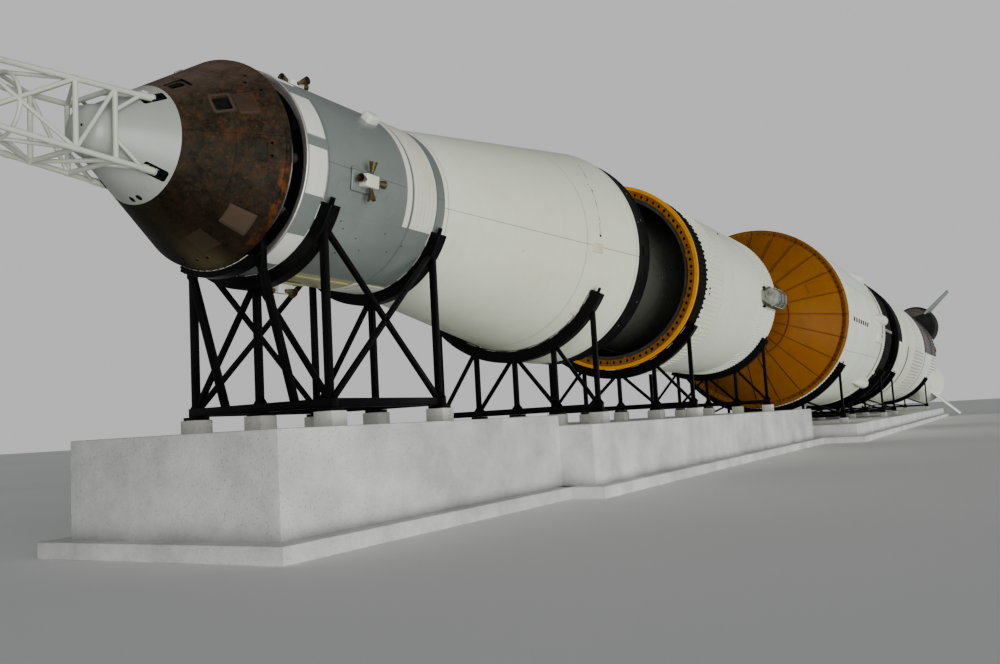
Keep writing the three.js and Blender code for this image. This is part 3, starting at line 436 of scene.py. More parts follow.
def bell_paint(name, color, hot, roughness):
    """An engine bell's tube wall: fine tubes round it by its wrap, hoops, and heat stains."""
    paint = Paint(name, Metallic=0.75, Specular_IOR_Level=0.5)
    u, v, _ = paint.add("SeparateXYZ", {0: paint.add("UVMap", uv_map="wrap").outputs[0]}).outputs
    tubes = paint.math("SINE", paint.math("MULTIPLY", u, math.tau * 120))
    cloud = paint.noise(paint.place, 9.0, 5.0, 0.6)
    heat = paint.ramp(paint.math("MULTIPLY_ADD", cloud, 0.5, v), 0.4, 1.3)
    shade = paint.mix(heat, full(color), full(hot))
    grime = paint.effect("Grime", Color=shade, Dirt=full((0.03, 0.026, 0.022)), Place=paint.place,
                         Scale=8.0, Amount=0.75)
    rough = paint.ramp(cloud, 0.3, 0.7, roughness - 0.08, roughness + 0.12)
    return paint.done(grime[0], rough, paint.math("MULTIPLY_ADD", tubes, 0.5, cloud), 0.0008)


def metal_paint(name, color, roughness, scale=30.0, dirt=0.3, bump=0.0003):
    """Bare metal with a grain and smudges."""
    paint = Paint(name, Metallic=0.9)
    lines = paint.noise(paint.place, scale, 4.0, 0.6)
    grime = paint.effect("Grime", Color=full(color), Dirt=full((0.08, 0.07, 0.055)), Place=paint.place,
                         Scale=9.0, Amount=dirt)
    shade = paint.mix(paint.ramp(lines, 0.3, 0.7, 0.0, 0.35), grime[0], full(color, 1.6))
    rough = paint.ramp(lines, 0.3, 0.7, roughness - 0.08, roughness + 0.12)
    return paint.done(shade, rough, lines, bump)


def cover_orange(name, color):
    """Orange paint in pie-shaped panels: each panel has its own tone, with a thin painted shadow line beside
    each rib, and it is darker to the hub."""
    paint = Paint(name, Specular_IOR_Level=0.05)
    _, angle, radius = paint.effect("Round the axis").values()
    share = paint.math("DIVIDE", paint.math("ADD", angle, 2.2), 15.0)
    tone = paint.add("TexWhiteNoise", {"W": paint.math("FLOOR", share)}, noise_dimensions="1D").outputs[0]
    shade = paint.mix(paint.math("MULTIPLY", tone, 0.35), full(color), full((0.22, 0.108, 0.002)))
    cloud = paint.noise(paint.place, 2.4, 5.0, 0.6)
    shade = paint.mix(paint.ramp(cloud, 0.4, 0.75, 0.0, 0.6), shade, full((0.150, 0.038, 0.0010)))
    drips = paint.noise(paint.place, 6.0, 6.0, 0.65, stretch=(1.0, 3.2, 0.35))
    shade = paint.mix(paint.ramp(drips, 0.52, 0.85, 0.0, 0.25), shade, full((0.070, 0.024, 0.002)))
    # Painted shadow: a thin dark line beside each of the 24 ribs, also pressed in by the bump.
    lines = paint.effect("Seams", Value=angle, Spacing=15.0, Start=-2.65, Half_Width=0.30)[0]
    shade = paint.mix(paint.math("MULTIPLY", lines, 0.6), shade, full((0.030, 0.010, 0.001)))
    hub = paint.ramp(radius, 0.19, 0.26, 0.62, 0.0)
    shade = paint.mix(hub, shade, full((0.110, 0.030, 0.0010)))
    grime = paint.effect("Grime", Color=shade, Dirt=full((0.09, 0.040, 0.006)), Place=paint.place,
                         Scale=9.0, Amount=0.4)
    rough = paint.math("MULTIPLY_ADD", grime[1], 0.25, 0.42)
    height = paint.math("MULTIPLY_ADD", cloud, 1.6, paint.noise(paint.place, 40.0, 3.0))
    return paint.done(grime[0], rough, paint.math("SUBTRACT", height, lines), 0.0008)


def concrete_paint(color):
    paint = Paint("concrete")
    grain = paint.noise(paint.place, 240.0, 5.0, 0.7)
    stain = paint.noise(paint.place, 7.0, 7.0, 0.65)
    shade = paint.mix(paint.ramp(stain, 0.35, 0.7), full(color, 0.72), full(color, 1.15))
    shade = paint.mix(paint.ramp(grain, 0.55, 0.75, 0.0, 0.5), shade, full(color, 0.5))
    pits = paint.add("TexVoronoi", {"Vector": paint.place, "Scale": 150.0}).outputs["Distance"]
    hollow = paint.ramp(pits, 0.05, 0.16, 1.0, 0.0)
    shade = paint.mix(paint.math("MULTIPLY", hollow, 0.5), shade, full(color, 0.3))
    height = paint.math("SUBTRACT", grain, hollow)
    return paint.done(shade, paint.ramp(grain, 0.3, 0.7, 0.75, 0.95), height, 0.0012)


def glass_paint(name, color):
    """Dark scorched window glass with a film of soot."""
    paint = Paint(name, Specular_IOR_Level=0.06, Coat_Weight=0.03, Coat_Roughness=0.08)
    soot = paint.noise(paint.place, 40.0, 6.0, 0.65)
    shade = paint.mix(paint.ramp(soot, 0.4, 0.7), full(color), full(color, 3.0))
    return paint.done(shade, paint.ramp(soot, 0.35, 0.7, 0.06, 0.35))


def make_materials(colours):
    """Every finish by name."""
    white, black = colours.white, colours.black
    oily = dict(dirt=(0.012, 0.0115, 0.010), gloss=0.06)
    return {
        "tower": worn_paint("tower paint", colours.tower, 0.34, chip=(0.20, 0.16, 0.10), chips=0.12,
                            dirt=(0.20, 0.19, 0.12), amount=0.4, scale=9.0, coat=0.2),
        "cover": hull_paint("apex cover paint", colours.cover, dirt=0.25,
                            dirt_color=(0.24, 0.24, 0.20), roughness=0.40, grime_scale=5.0),
        "charred": charred_paint(colours),
        "service": hull_paint(
            "service section paint", colours.grey, rings=(-0.399, -0.1245, -0.033), dirt=0.5,
            dirt_color=(0.10, 0.12, 0.11), roughness=0.30, grime_scale=4.0, seam=0.0004,
            rivet_pitch=0.006, gores=180.0, gore_start=-1.9,
            patches=[(-0.39, -0.045, -106.0, -74.0, (0.36, 0.33, 0.17))],
        ),
        "panel": hull_paint("radiator white", (0.72, 0.74, 0.67), dirt=0.3, grime_scale=4.0,
                            roughness=0.42),
        "adapter": hull_paint("adapter white", white, rings=(0.012, 0.575, 0.838), gores=90.0,
                              gore_start=-7.0, dirt=0.3, grime_scale=1.2, dirt_color=(0.36, 0.34, 0.22)),
        "third": hull_paint("third stage white", white, rings=(1.745, 2.361), dirt=0.35, grime_scale=1.6),
        "second": hull_paint("second stage white", white, rings=(3.95, 4.45, 4.97), dirt=0.4, gores=45.0,
                             gore_start=20.0),
        # The first stage's second patch, dark brown aft near the near upper fairing, is partly dark paint and
        # partly painted shadow over the ribbed aft part.
        "first": hull_paint(
            "first stage white", white, rings=(6.35, 7.05, 8.2, 8.96), dirt=0.4,
            patches=[(6.63, 6.72, -62.0, -7.0, (0.11, 0.075, 0.050)),
                     (8.16, 9.60, -6.0, 87.0, (0.018, 0.012, 0.009))],
        ),
        "fin": hull_paint("fin white", white, dirt=0.5, grime_scale=4.0),
        "black": worn_paint("stripe black", black, 0.6, amount=0.5, scale=7.0, **oily),
        "bronze": worn_paint("stained bronze", (0.060, 0.038, 0.024), 0.42, dirt=(0.018, 0.012, 0.008),
                             amount=0.7, scale=7.0, gloss=0.2),
        "frame": worn_paint("window frame", (0.050, 0.035, 0.025), 0.5, dirt=(0.012, 0.009, 0.006),
                            gloss=0.1),
        "orange": cover_orange("cover orange", colours.orange),
        "yellow": worn_paint("rim yellow", (0.60, 0.25, 0.004), 0.4, dirt=(0.20, 0.08, 0.01), gloss=0.12),
        "silver": metal_paint("bare silver", colours.silver, 0.34),
        "lip": metal_paint("lip silver", (0.62, 0.58, 0.54), 0.42, scale=12.0),
        "foil": metal_paint("crinkled foil", (0.27, 0.29, 0.24), 0.24, scale=22.0, dirt=0.9, bump=0.0022),
        "bell": bell_paint("bell outside", colours.bell, (0.20, 0.13, 0.085), 0.42),
        "throat": bell_paint("bell inside", (0.05, 0.045, 0.042), (0.11, 0.085, 0.07), 0.55),
        "pump": metal_paint("pump metal", (0.30, 0.29, 0.27), 0.36, dirt=0.6),
        "nozzle": metal_paint("nozzle metal", (0.13, 0.105, 0.045), 0.36, dirt=0.6),
        "inside": worn_paint("inner wall", colours.inside, 0.6, dirt=(0.07, 0.06, 0.045), amount=0.6,
                             scale=5.0, chip=(0.11, 0.11, 0.10), chips=0.1, gloss=0.3),
        # Painted shade: dark grey laid under the first stage's broad ribs, so that the grooves between them
        # look shaded.
        "groove": worn_paint("groove shade", (0.38, 0.38, 0.33), 0.6, dirt=(0.08, 0.07, 0.05), gloss=0.1),
        "dome": worn_paint("dome primer", (0.085, 0.090, 0.070), 0.55, dirt=(0.026, 0.025, 0.019),
                           amount=0.7, scale=6.0, gloss=0.2),
        "dark": worn_paint("dark void", (0.0040, 0.0040, 0.0042), 0.6, scale=20.0, **oily),
        "steel": worn_paint("cradle black", colours.steel, 0.36, chip=(0.014, 0.013, 0.012), chips=0.05,
                            amount=0.4, scale=5.0, dirt=(0.006, 0.0057, 0.0054), gloss=0.10),
        "pad": worn_paint("white pad", (0.55, 0.55, 0.50), 0.6, dirt=(0.2, 0.18, 0.14), amount=0.5),
        "glass": glass_paint("scorched glass", (0.004, 0.0045, 0.0045)),
        "green": worn_paint("pale green", (0.42, 0.50, 0.33), 0.45, dirt=(0.12, 0.14, 0.07)),
        "corn": worn_paint("aged white", (0.62, 0.60, 0.45), 0.45, dirt=(0.26, 0.22, 0.13), amount=0.6),
        "concrete": concrete_paint(colours.concrete),
    }


PAINTS = {}


# Forms


def on_hull(station, angle, radius, lean=0.0):
    """A place on a hull: local X runs aft, local Z points away from the axis."""
    turn = Matrix.Rotation(math.radians(90 - angle), 4, "X")
    tilt = Matrix.Rotation(-lean, 4, "Y")
    return AXIS @ turn @ Matrix.Translation((station, 0, radius)) @ tilt


def rounded(length, width, corner, steps=3):
    """A rectangle with round corners, as a convex outline round the origin."""
    points = []
    for turn, (sx, sy) in enumerate(((1, 1), (-1, 1), (-1, -1), (1, -1))):
        for step in range(steps + 1):
            angle = math.pi / 2 * (turn + step / steps)
            points.append((sx * (length / 2 - corner) + corner * math.cos(angle),
                           sy * (width / 2 - corner) + corner * math.sin(angle)))
    return points


def disc(radius, sides=16):
    """A regular outline round the origin."""
    return [(radius * math.cos(math.tau * i / sides), radius * math.sin(math.tau * i / sides))
            for i in range(sides)]


class Form:
    """A mesh in the making: each shape that is added takes a paint, by its place in the list."""

    def __init__(self, *paints):
        self.bm = bmesh.new()
        self.seen = self.bm.faces.layers.int.new("seen")
        self.paints = paints

    def fresh(self):
        return [face for face in self.bm.faces if not face[self.seen]]

    def dress(self, paint, outward=True):
        """Gives a paint to the faces that have none yet, with their normals turned outwards."""
        number = self.paints.index(paint)
        faces = self.fresh()
        if outward:
            bmesh.ops.recalc_face_normals(self.bm, faces=faces)
        for face in faces:
            face[self.seen] = 1
            face.material_index = number
        return faces

    def turned(self, outline, paint, segments=96, closed=True, place=AXIS, span=None):
        """Spins an outline of (station, radius) points about a place's X axis. A span is
        (low, high) angles: the outline is then a section, and its ends are closed."""
        bm = self.bm
        low, high = span or (90.0, 450.0)
        turn = place @ Matrix.Rotation(math.radians(90 - low), 4, "X")
        ring = [bm.verts.new(turn @ Vector((x, 0, r))) for x, r in outline]
        if span:
            geometry = [bm.faces.new(ring)]
        else:
            pairs = list(zip(ring, ring[1:]))
            if closed and min(r for _, r in outline) > 1e-9:
                pairs.append((ring[-1], ring[0]))
            geometry = ring + [bm.edges.new(pair) for pair in pairs]
        bmesh.ops.spin(
            bm, geom=geometry, cent=place.translation, axis=place.to_3x3() @ Vector((-1, 0, 0)),
            angle=math.radians(high - low), steps=segments, use_merge=not span,
        )
        if not span:
            corners = {corner for face in self.fresh() for corner in face.verts}
            bmesh.ops.remove_doubles(bm, verts=list(corners), dist=1e-6)
        return self.dress(paint)

    def tube(self, start, end, radius, paint, sides=14, end_radius=None):
        """A straight round bar between two points."""
        start, end = Vector(start), Vector(end)
        self.bar(start, end, radius, sides, end_radius)
        return self.dress(paint)

    def bar(self, start, end, radius, sides, end_radius=None):
        along = end - start
        place = Matrix.Translation((start + end) / 2) @ along.to_track_quat("Z", "Y").to_matrix().to_4x4()
        bmesh.ops.create_cone(
            self.bm, cap_ends=True, segments=sides, radius1=radius,
            radius2=radius if end_radius is None else end_radius, depth=along.length, matrix=place,
        )

    def pipe(self, points, radius, paint, sides=12, place=Matrix()):
        """A round pipe along a line of points, mitred at its bends."""
        bm = self.bm
        points = [place @ Vector(point) for point in points]
        aim = (points[1] - points[0]).to_track_quat("Z", "Y").to_matrix().to_4x4()
        made = bmesh.ops.create_circle(
            bm, cap_ends=True, segments=sides, radius=radius, matrix=Matrix.Translation(points[0]) @ aim
        )
        rim = list({edge for corner in made["verts"] for edge in corner.link_edges})
        for number in range(1, len(points)):
            along = (points[number] - points[number - 1]).normalized()
            ahead = along
            if number + 1 < len(points):
                ahead = (points[number + 1] - points[number]).normalized()
            across = (along + ahead).normalized()
            drawn = bmesh.ops.extrude_edge_only(bm, edges=rim)["geom"]
            corners = {part for part in drawn if isinstance(part, bmesh.types.BMVert)}
            rim = [part for part in drawn if isinstance(part, bmesh.types.BMEdge)
                   and set(part.verts) <= corners]
            for corner in corners:
                corner.co += along * ((points[number] - corner.co).dot(across) / along.dot(across))
        bmesh.ops.edgeloop_fill(bm, edges=rim)
        return self.dress(paint)

    def block(self, size, place, paint, bevel=0.0, segments=2):
        """A box with its edges rounded off."""
        made = bmesh.ops.create_cube(self.bm, size=1.0, matrix=place @ Matrix.Diagonal((*size, 1.0)))
        if bevel:
            edges = list({edge for corner in made["verts"] for edge in corner.link_edges})
            bmesh.ops.bevel(self.bm, geom=edges, offset=bevel, segments=segments, affect="EDGES",
                            profile=0.5, material=-1, clamp_overlap=True)
        return self.dress(paint)

    def plate(self, outline, depth, place, paint, bevel=0.0):
        """A flat outline in a place's XY plane, drawn out along its Z by a depth."""
        bm = self.bm
        face = bm.faces.new([bm.verts.new(place @ Vector((x, y, 0))) for x, y in outline])
        drawn = bmesh.ops.extrude_face_region(bm, geom=[face])["geom"]
        corners = [part for part in drawn if isinstance(part, bmesh.types.BMVert)]
        bmesh.ops.translate(bm, verts=corners, vec=place.to_3x3() @ Vector((0, 0, depth)))
        if bevel:
            edges = list({edge for part in self.fresh() for edge in part.edges})
            bmesh.ops.bevel(bm, geom=edges, offset=bevel, segments=2, affect="EDGES",
                            profile=0.5, material=-1, clamp_overlap=True)
        return self.dress(paint)

    def blade(self, outline, thick, angle, paint, bevel=0.0):
        """An outline of (station, radius) points, drawn out across a plane through the axis."""
        lay = on_hull(0, angle, 0) @ Matrix.Translation((0, thick / 2, 0)) @ UPRIGHT
        return self.plate(outline, thick, lay, paint, bevel)

    def band(self, first, last, radius, rise, paint, segments=192, span=None):
        """A band that stands out from a hull, all round it or over a span of angles."""
        outline = [(first, radius - 0.001), (first, radius + rise), (last, radius + rise),
                   (last, radius - 0.001)]
        return self.turned(outline, paint, segments, span=span)

    def ribs(self, first, last, radius, paint, count, width, height):
        """Straight ribs along a hull, spread evenly round it."""
        places = [on_hull((first + last) / 2, a, radius - 0.0004) for a in circle_of(count)]
        return self.blocks(places, (last - first, width, height + 0.0004), paint)

    def tunnel(self, first, last, wide, tall, angle, radius, paint):
        """A long box with sloped ends, that carries a stage's lines along its hull."""
        sunk = radius - 0.006
        outline = [(first, sunk), (first + 2 * tall, radius + tall), (last - 2 * tall, radius + tall),
                   (last, sunk)]
        return self.blade(outline, wide, angle, paint, 0.003)

    def bolts(self, places, radius, height, paint, sides=6):
        """A bolt head on each place, along its local Z."""
        for place in places:
            start = place.translation
            self.bar(start, start + place.to_3x3() @ Vector((0, 0, height)), radius, sides)
        return self.dress(paint)

    def bolt_ring(self, station, radius, count, start, size, paint):
        """Bolt heads of (radius, height) round a hull at a station."""
        places = [on_hull(station, angle, radius) for angle in circle_of(count, start)]
        return self.bolts(places, *size, paint)

    def face_ring(self, station, radius, count, way, size, paint):
        """Bolt heads of (radius, height) on a face across the axis, which looks aft with way 1."""
        turn = Matrix.Rotation(way * math.pi / 2, 4, "Y")
        places = [on_hull(station, angle, radius) @ turn for angle in circle_of(count)]
        return self.bolts(places, *size, paint)

    def blocks(self, places, size, paint):
        """Like boxes, one on each place, with their feet at it."""
        lift = Matrix.Translation((0, 0, size[2] / 2)) @ Matrix.Diagonal((*size, 1.0))
        for place in places:
            bmesh.ops.create_cube(self.bm, size=1.0, matrix=place @ lift)
        return self.dress(paint)

    def cut(self, place, corners, reach=0.03):
        """Cuts the faces near a place along a convex outline in its XY plane, and returns those
        inside the outline."""
        bm = self.bm
        back = place.inverted()
        wide = max(math.hypot(x, y) for x, y in corners)

        def close(face):
            spots = [back @ corner.co for corner in face.verts]
            centre = back @ face.calc_center_median()
            return abs(centre.z) < reach and (
                centre.xy.length < wide * 1.5 or min(spot.xy.length for spot in spots) < wide * 1.3
            )

        near = [face for face in bm.faces if close(face)]
        sides = list(zip(corners, corners[1:] + corners[:1]))
        outward = [Vector((b[1] - a[1], a[0] - b[0], 0)).normalized() for a, b in sides]
        for (start, _), away in zip(sides, outward):
            parts = {*near}
            for face in near:
                parts.update(face.edges)
                parts.update(face.verts)
            made = bmesh.ops.bisect_plane(
                bm, geom=list(parts), dist=1e-7, plane_co=place @ Vector((*start, 0)),
                plane_no=place.to_3x3() @ away,
            )
            near = [part for part in made["geom"] if isinstance(part, bmesh.types.BMFace)]

        def inside(face):
            centre = back @ face.calc_center_median()
            return all((centre - Vector((*start, 0))).dot(away) < 1e-6
                       for (start, _), away in zip(sides, outward))

        return [face for face in near if inside(face)]

    def sink(self, faces, depth, paint, edge=0.0006):
        """Presses a patch of faces in by a depth, with steep sides. A negative depth raises it."""
        number = self.paints.index(paint)
        made = bmesh.ops.inset_region(self.bm, faces=faces, thickness=edge, depth=-depth,
                                      use_boundary=True, use_even_offset=True)
        for face in list(made["faces"]) + list(faces):
            face.material_index = number

    def done(self, name, body="root", stands_for=(), slot=None, sharp=32.0, place=None):
        """The finished piece, which rides on a body and may stand for nodes of the frame."""
        if place is not None:
            self.bm.transform(place)
        self.bm.faces.layers.int.remove(self.seen)
        mesh = bpy.data.meshes.new(name)
        self.bm.to_mesh(mesh)
        self.bm.free()
        return as_piece(name, mesh, self.paints, body, stands_for, sharp)


def as_piece(name, mesh, paints, body, stands_for, sharp=32.0):
    """An object of a mesh, painted, that rides on a body."""
    for paint in paints:
        mesh.materials.append(PAINTS[paint])
    mesh.shade_smooth()
    mesh.set_sharp_from_angle(angle=math.radians(sharp))
    piece = bpy.data.objects.new(name, mesh)
    bpy.context.scene.collection.objects.link(piece)
    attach(piece, body)
    if stands_for:
        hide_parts(*stands_for)
    return piece


def evenly(first, last, steps):
    """Values from first to last, both included."""
    return [first + (last - first) * i / steps for i in range(steps + 1)]


def circle_of(count, start=0.0):
    """Angles spread evenly round the axis."""
    return [start + 360.0 * i / count for i in range(count)]


# The camera and the floor

CAMERA_PLACE = (-5.9297, -1.2684, 0.1943)
CAMERA_YAW, CAMERA_PITCH, CAMERA_ROLL = 61.176, 5.586, -3.236
FOCAL_LENGTH = 33.573
SENSOR_WIDTH = 36.0


def camera_turn():
    """The camera's axes from its yaw (from +Y towards +X), pitch and roll."""
    yaw, pitch, roll = (math.radians(a) for a in (CAMERA_YAW, CAMERA_PITCH, CAMERA_ROLL))
    ahead = Vector((math.sin(yaw) * math.cos(pitch), math.cos(yaw) * math.cos(pitch), math.sin(pitch)))
    level = Vector((math.cos(yaw), -math.sin(yaw), 0))
    over = level.cross(ahead)
    right = math.cos(roll) * level + math.sin(roll) * over
    up = -math.sin(roll) * level + math.cos(roll) * over
    return Matrix((right, up, -ahead)).transposed()


class ROCKET_OT_stage(bpy.types.Operator):
    """Adds the camera, the floor and the lights"""

    bl_idname = "rocket.stage"
    bl_label = "Stage"

    def execute(self, context):
        stage = context.scene.rocket_stage
        camera = bpy.data.objects.new("camera", bpy.data.cameras.new("camera"))
        context.scene.collection.objects.link(camera)
        camera.data.sensor_fit = "HORIZONTAL"
        camera.data.sensor_width = SENSOR_WIDTH
        camera.data.lens = FOCAL_LENGTH
        camera.matrix_world = Matrix.Translation(CAMERA_PLACE) @ camera_turn().to_4x4()
        context.scene.camera = camera

        paint = Paint("studio floor", Roughness=0.75)
        cloud = paint.noise(paint.place, 0.6, 3.0)
        shade = paint.mix(paint.ramp(cloud, 0.3, 0.7), full(stage.floor, 0.97), full(stage.floor, 1.03))
        bm = bmesh.new()
        bmesh.ops.create_grid(bm, x_segments=1, y_segments=1, size=60.0)
        mesh = bpy.data.meshes.new("studio_floor")
        bm.to_mesh(mesh)
        bm.free()
        mesh.materials.append(paint.done(shade))
        floor = bpy.data.objects.new("studio_floor", mesh)
        context.scene.collection.objects.link(floor)
        floor.visible_shadow = False

        for name, strength, spread, aim in (
            ("key", stage.key, 44.0, (0.46, 0.86, 0.14)),
            ("fill", stage.fill, 60.0, (0.55, -0.10, -0.80)),
        ):
            light = bpy.data.lights.new(name, "SUN")
            light.energy = strength
            light.angle = math.radians(spread)
            lamp = bpy.data.objects.new(name, light)
            lamp.rotation_euler = Vector(aim).to_track_quat("-Z", "Y").to_euler()
            context.scene.collection.objects.link(lamp)

        world = bpy.data.worlds.new("soft sky")
        context.scene.world = world
        world.use_nodes = True
        nodes = Nodes(world.node_tree)
        direction = nodes.add("TexCoord").outputs["Generated"]
        height = nodes.add("SeparateXYZ", {0: direction}).outputs[2]
        glow = nodes.mix(nodes.ramp(height, 0.0, 0.8, smooth=True), full((1.0, 0.99, 0.96)),
                         full((0.30, 0.32, 0.34)))
        seen = nodes.add("LightPath").outputs["Is Camera Ray"]
        plain = full((stage.backdrop, stage.backdrop, stage.backdrop))
        ground = world.node_tree.nodes["Background"]
        world.node_tree.links.new(nodes.mix(seen, glow, plain), ground.inputs["Color"])
        strength = nodes.ramp(seen, 0.0, 1.0, stage.sky, 1.0)
        world.node_tree.links.new(strength, ground.inputs["Strength"])
        return {"FINISHED"}


# The escape tower, its motor and the cover that it stands on

FOOT, SHOULDER, FRAMES, HOOP, TOWER_TOP = -0.687, -0.710, (-0.758, -0.827), -0.914, -1.000
FOOT_HALF, TOP_HALF = 0.062, 0.046
LEG, BRACE = 0.0046, 0.0034
CORNER_SIGNS = ((-1, 1), (1, 1), (1, -1), (-1, -1))


def leg_point(corner, station):
    half = FOOT_HALF + (TOP_HALF - FOOT_HALF) * (station - FOOT) / (TOWER_TOP - FOOT)
    y, z = CORNER_SIGNS[corner % 4]
    return AXIS @ Vector((station, y * half, z * half))


class ROCKET_OT_tower(bpy.types.Operator):
    """Welds the escape tower from round tubes"""

    bl_idname = "rocket.tower"
    bl_label = "Escape tower"

    def execute(self, context):
        form = Form("tower")
        low, high = FRAMES
        near_top = TOWER_TOP + 0.004
        for corner in range(4):
            after = corner + 1
            form.tube(leg_point(corner, FOOT), leg_point(corner, TOWER_TOP), LEG, "tower", 20)
            for station in FRAMES:
                form.tube(leg_point(corner, station), leg_point(after, station), LEG * 0.95, "tower", 18)
            for first, last in (
                ((corner, near_top), (after, near_top)), ((corner, high), (after, low)),
                ((corner, high), (after, near_top)), ((after, high), (corner, near_top)),
            ):
                form.tube(leg_point(*first), leg_point(*last), BRACE, "tower", 14)
            one, other = leg_point(corner, low), leg_point(after, low)
            for leg, share in ((corner, 0.3), (after, 0.7)):
                form.tube(leg_point(leg, SHOULDER), one.lerp(other, share), BRACE, "tower", 14)
            for station, half, wide in ((-0.700, 0.011, 1.35), (-0.868, 0.004, 1.22), (-0.973, 0.004, 1.22)):
                form.tube(leg_point(corner, station - half), leg_point(corner, station + half),
                          LEG * wide, "tower", 20)
            for station in (*FRAMES, SHOULDER):
                middle = leg_point(corner, station)
                form.turned([(-0.006, 0), (-0.0045, LEG * 1.12), (0.0045, LEG * 1.12), (0.006, 0)],
                            "tower", 16, place=Matrix.Translation(middle))
            foot = leg_point(corner, FOOT)
            form.tube(foot, foot + Vector((0.001, 0, 0)), LEG * 1.5, "tower", 20)
            form.block((0.010, 0.0035, 0.0035), Matrix.Translation(foot + Vector((-0.016, 0, LEG * 1.3))),
                       "tower", 0.0006)
        half = TOP_HALF + (FOOT_HALF - TOP_HALF) * (HOOP - TOWER_TOP) / (FOOT - TOWER_TOP)
        section = [(HOOP + 0.003 * math.cos(t), half + 0.003 * math.sin(t))
                   for t in (math.tau * i / 12 for i in range(12))]
        form.turned(section, "tower", 64)
        form.done("escape_tower_tubes", stands_for=["escape_tower"], slot="tower_paint", sharp=40)
        return {"FINISHED"}


class ROCKET_OT_motor(bpy.types.Operator):
    """Turns the escape motor with its four nozzles, and the nose with its fins"""

    bl_idname = "rocket.motor"
    bl_label = "Escape motor"

    def execute(self, context):
        form = Form("tower", "nozzle", "dark", "silver")
        base = TOWER_TOP - GAP
        form.turned(
            [(base, 0), (base, 0.060), (-1.010, 0.060), (-1.014, 0.046), (-1.058, 0.0335),
             (-1.060, 0.0345), (-1.066, 0.0345), (-1.068, 0.033), (-1.196, 0.033), (-1.198, 0.0343),
             (-1.206, 0.0343), (-1.208, 0.033), (-1.336, 0.033), (-1.338, 0.0343), (-1.346, 0.0343),
             (-1.348, 0.033), (-1.468, 0.033), (-1.470, 0.0345), (-1.475, 0.0345), (-1.475, 0.031),
             (-1.500, 0.031), (-1.500, 0)],
            "tower", 64,
        )
        form.face_ring(-1.009, 0.0545, 24, -1, (0.0016, 0.0035), "silver")
        form.bolt_ring(-1.472, 0.0340, 16, 0.0, (0.0014, 0.0012), "silver")
        for angle in CORNERS:
            place = AXIS @ Matrix.Rotation(math.radians(angle + 45), 4, "X")
            place = place @ Matrix.Translation((-1.076, -0.026, 0))
            place = place @ Matrix.Rotation(math.radians(-35), 4, "Z")
            form.turned(
                [(0, 0), (0, 0.010), (0.006, 0.0112), (0.010, 0.0112), (0.012, 0.0105), (0.040, 0.0176),
                 (0.0715, 0.0238), (0.074, 0.0238), (0.074, 0.0222), (0.040, 0.0156), (0.014, 0.008),
                 (0.010, 0)],
                "nozzle", 40, place=place,
            )
            form.turned([(0.0125, 0), (0.0125, 0.0085), (0.0145, 0.0085), (0.0145, 0)], "dark", 24,
                        place=place)
        form.done("escape_motor_casing", stands_for=["escape_motor"], slot="tower_paint")

        form = Form("tower", "silver", "dark")
        form.turned(
            [(-1.5003, 0), (-1.5003, 0.033), (-1.506, 0.034), (-1.512, 0.034), (-1.514, 0.033),
             (-1.618, 0.033), (-1.621, 0.0335), (-1.624, 0.0328), (-1.640, 0.0310), (-1.655, 0.0288),
             (-1.672, 0.0255), (-1.690, 0.0208), (-1.706, 0.0152), (-1.722, 0.0092), (-1.732, 0.0062),
             (-1.737, 0.0045), (-1.740, 0)],
            "tower", 64,
        )
        for side in (1, -1):
            place = AXIS @ Matrix.Translation((-1.586, side * 0.029, 0))
            form.block((0.052, 0.018, 0.026), place, "tower", 0.0035, 3)
            form.tube(place @ Vector((0, side * 0.007, 0)), place @ Vector((0, side * 0.009, 0)), 0.006,
                      "silver", 18)
        form.bolt_ring(-1.509, 0.0338, 16, 0.0, (0.0013, 0.001), "silver")
        form.bolts([on_hull(-1.729, a, 0.0070) for a in circle_of(6)], 0.0008, 0.0006, "dark", 10)
        form.done("escape_nose_cap", stands_for=["escape_nose"], slot="tower_paint")
        return {"FINISHED"}


CONE_TOP, CONE_TOP_RADIUS, CONE_SLOPE = -0.663, 0.1027, 0.61457
CONE_LEAN = math.atan(CONE_SLOPE)


def cone_radius(station):
    return CONE_TOP_RADIUS + CONE_SLOPE * (station - CONE_TOP)


def on_cone(station, angle, lift=0.0):
    """A place on the cabin's cone, its Z along the cone's own normal."""
    return on_hull(station, angle, cone_radius(station), CONE_LEAN) @ Matrix.Translation((0, 0, lift))


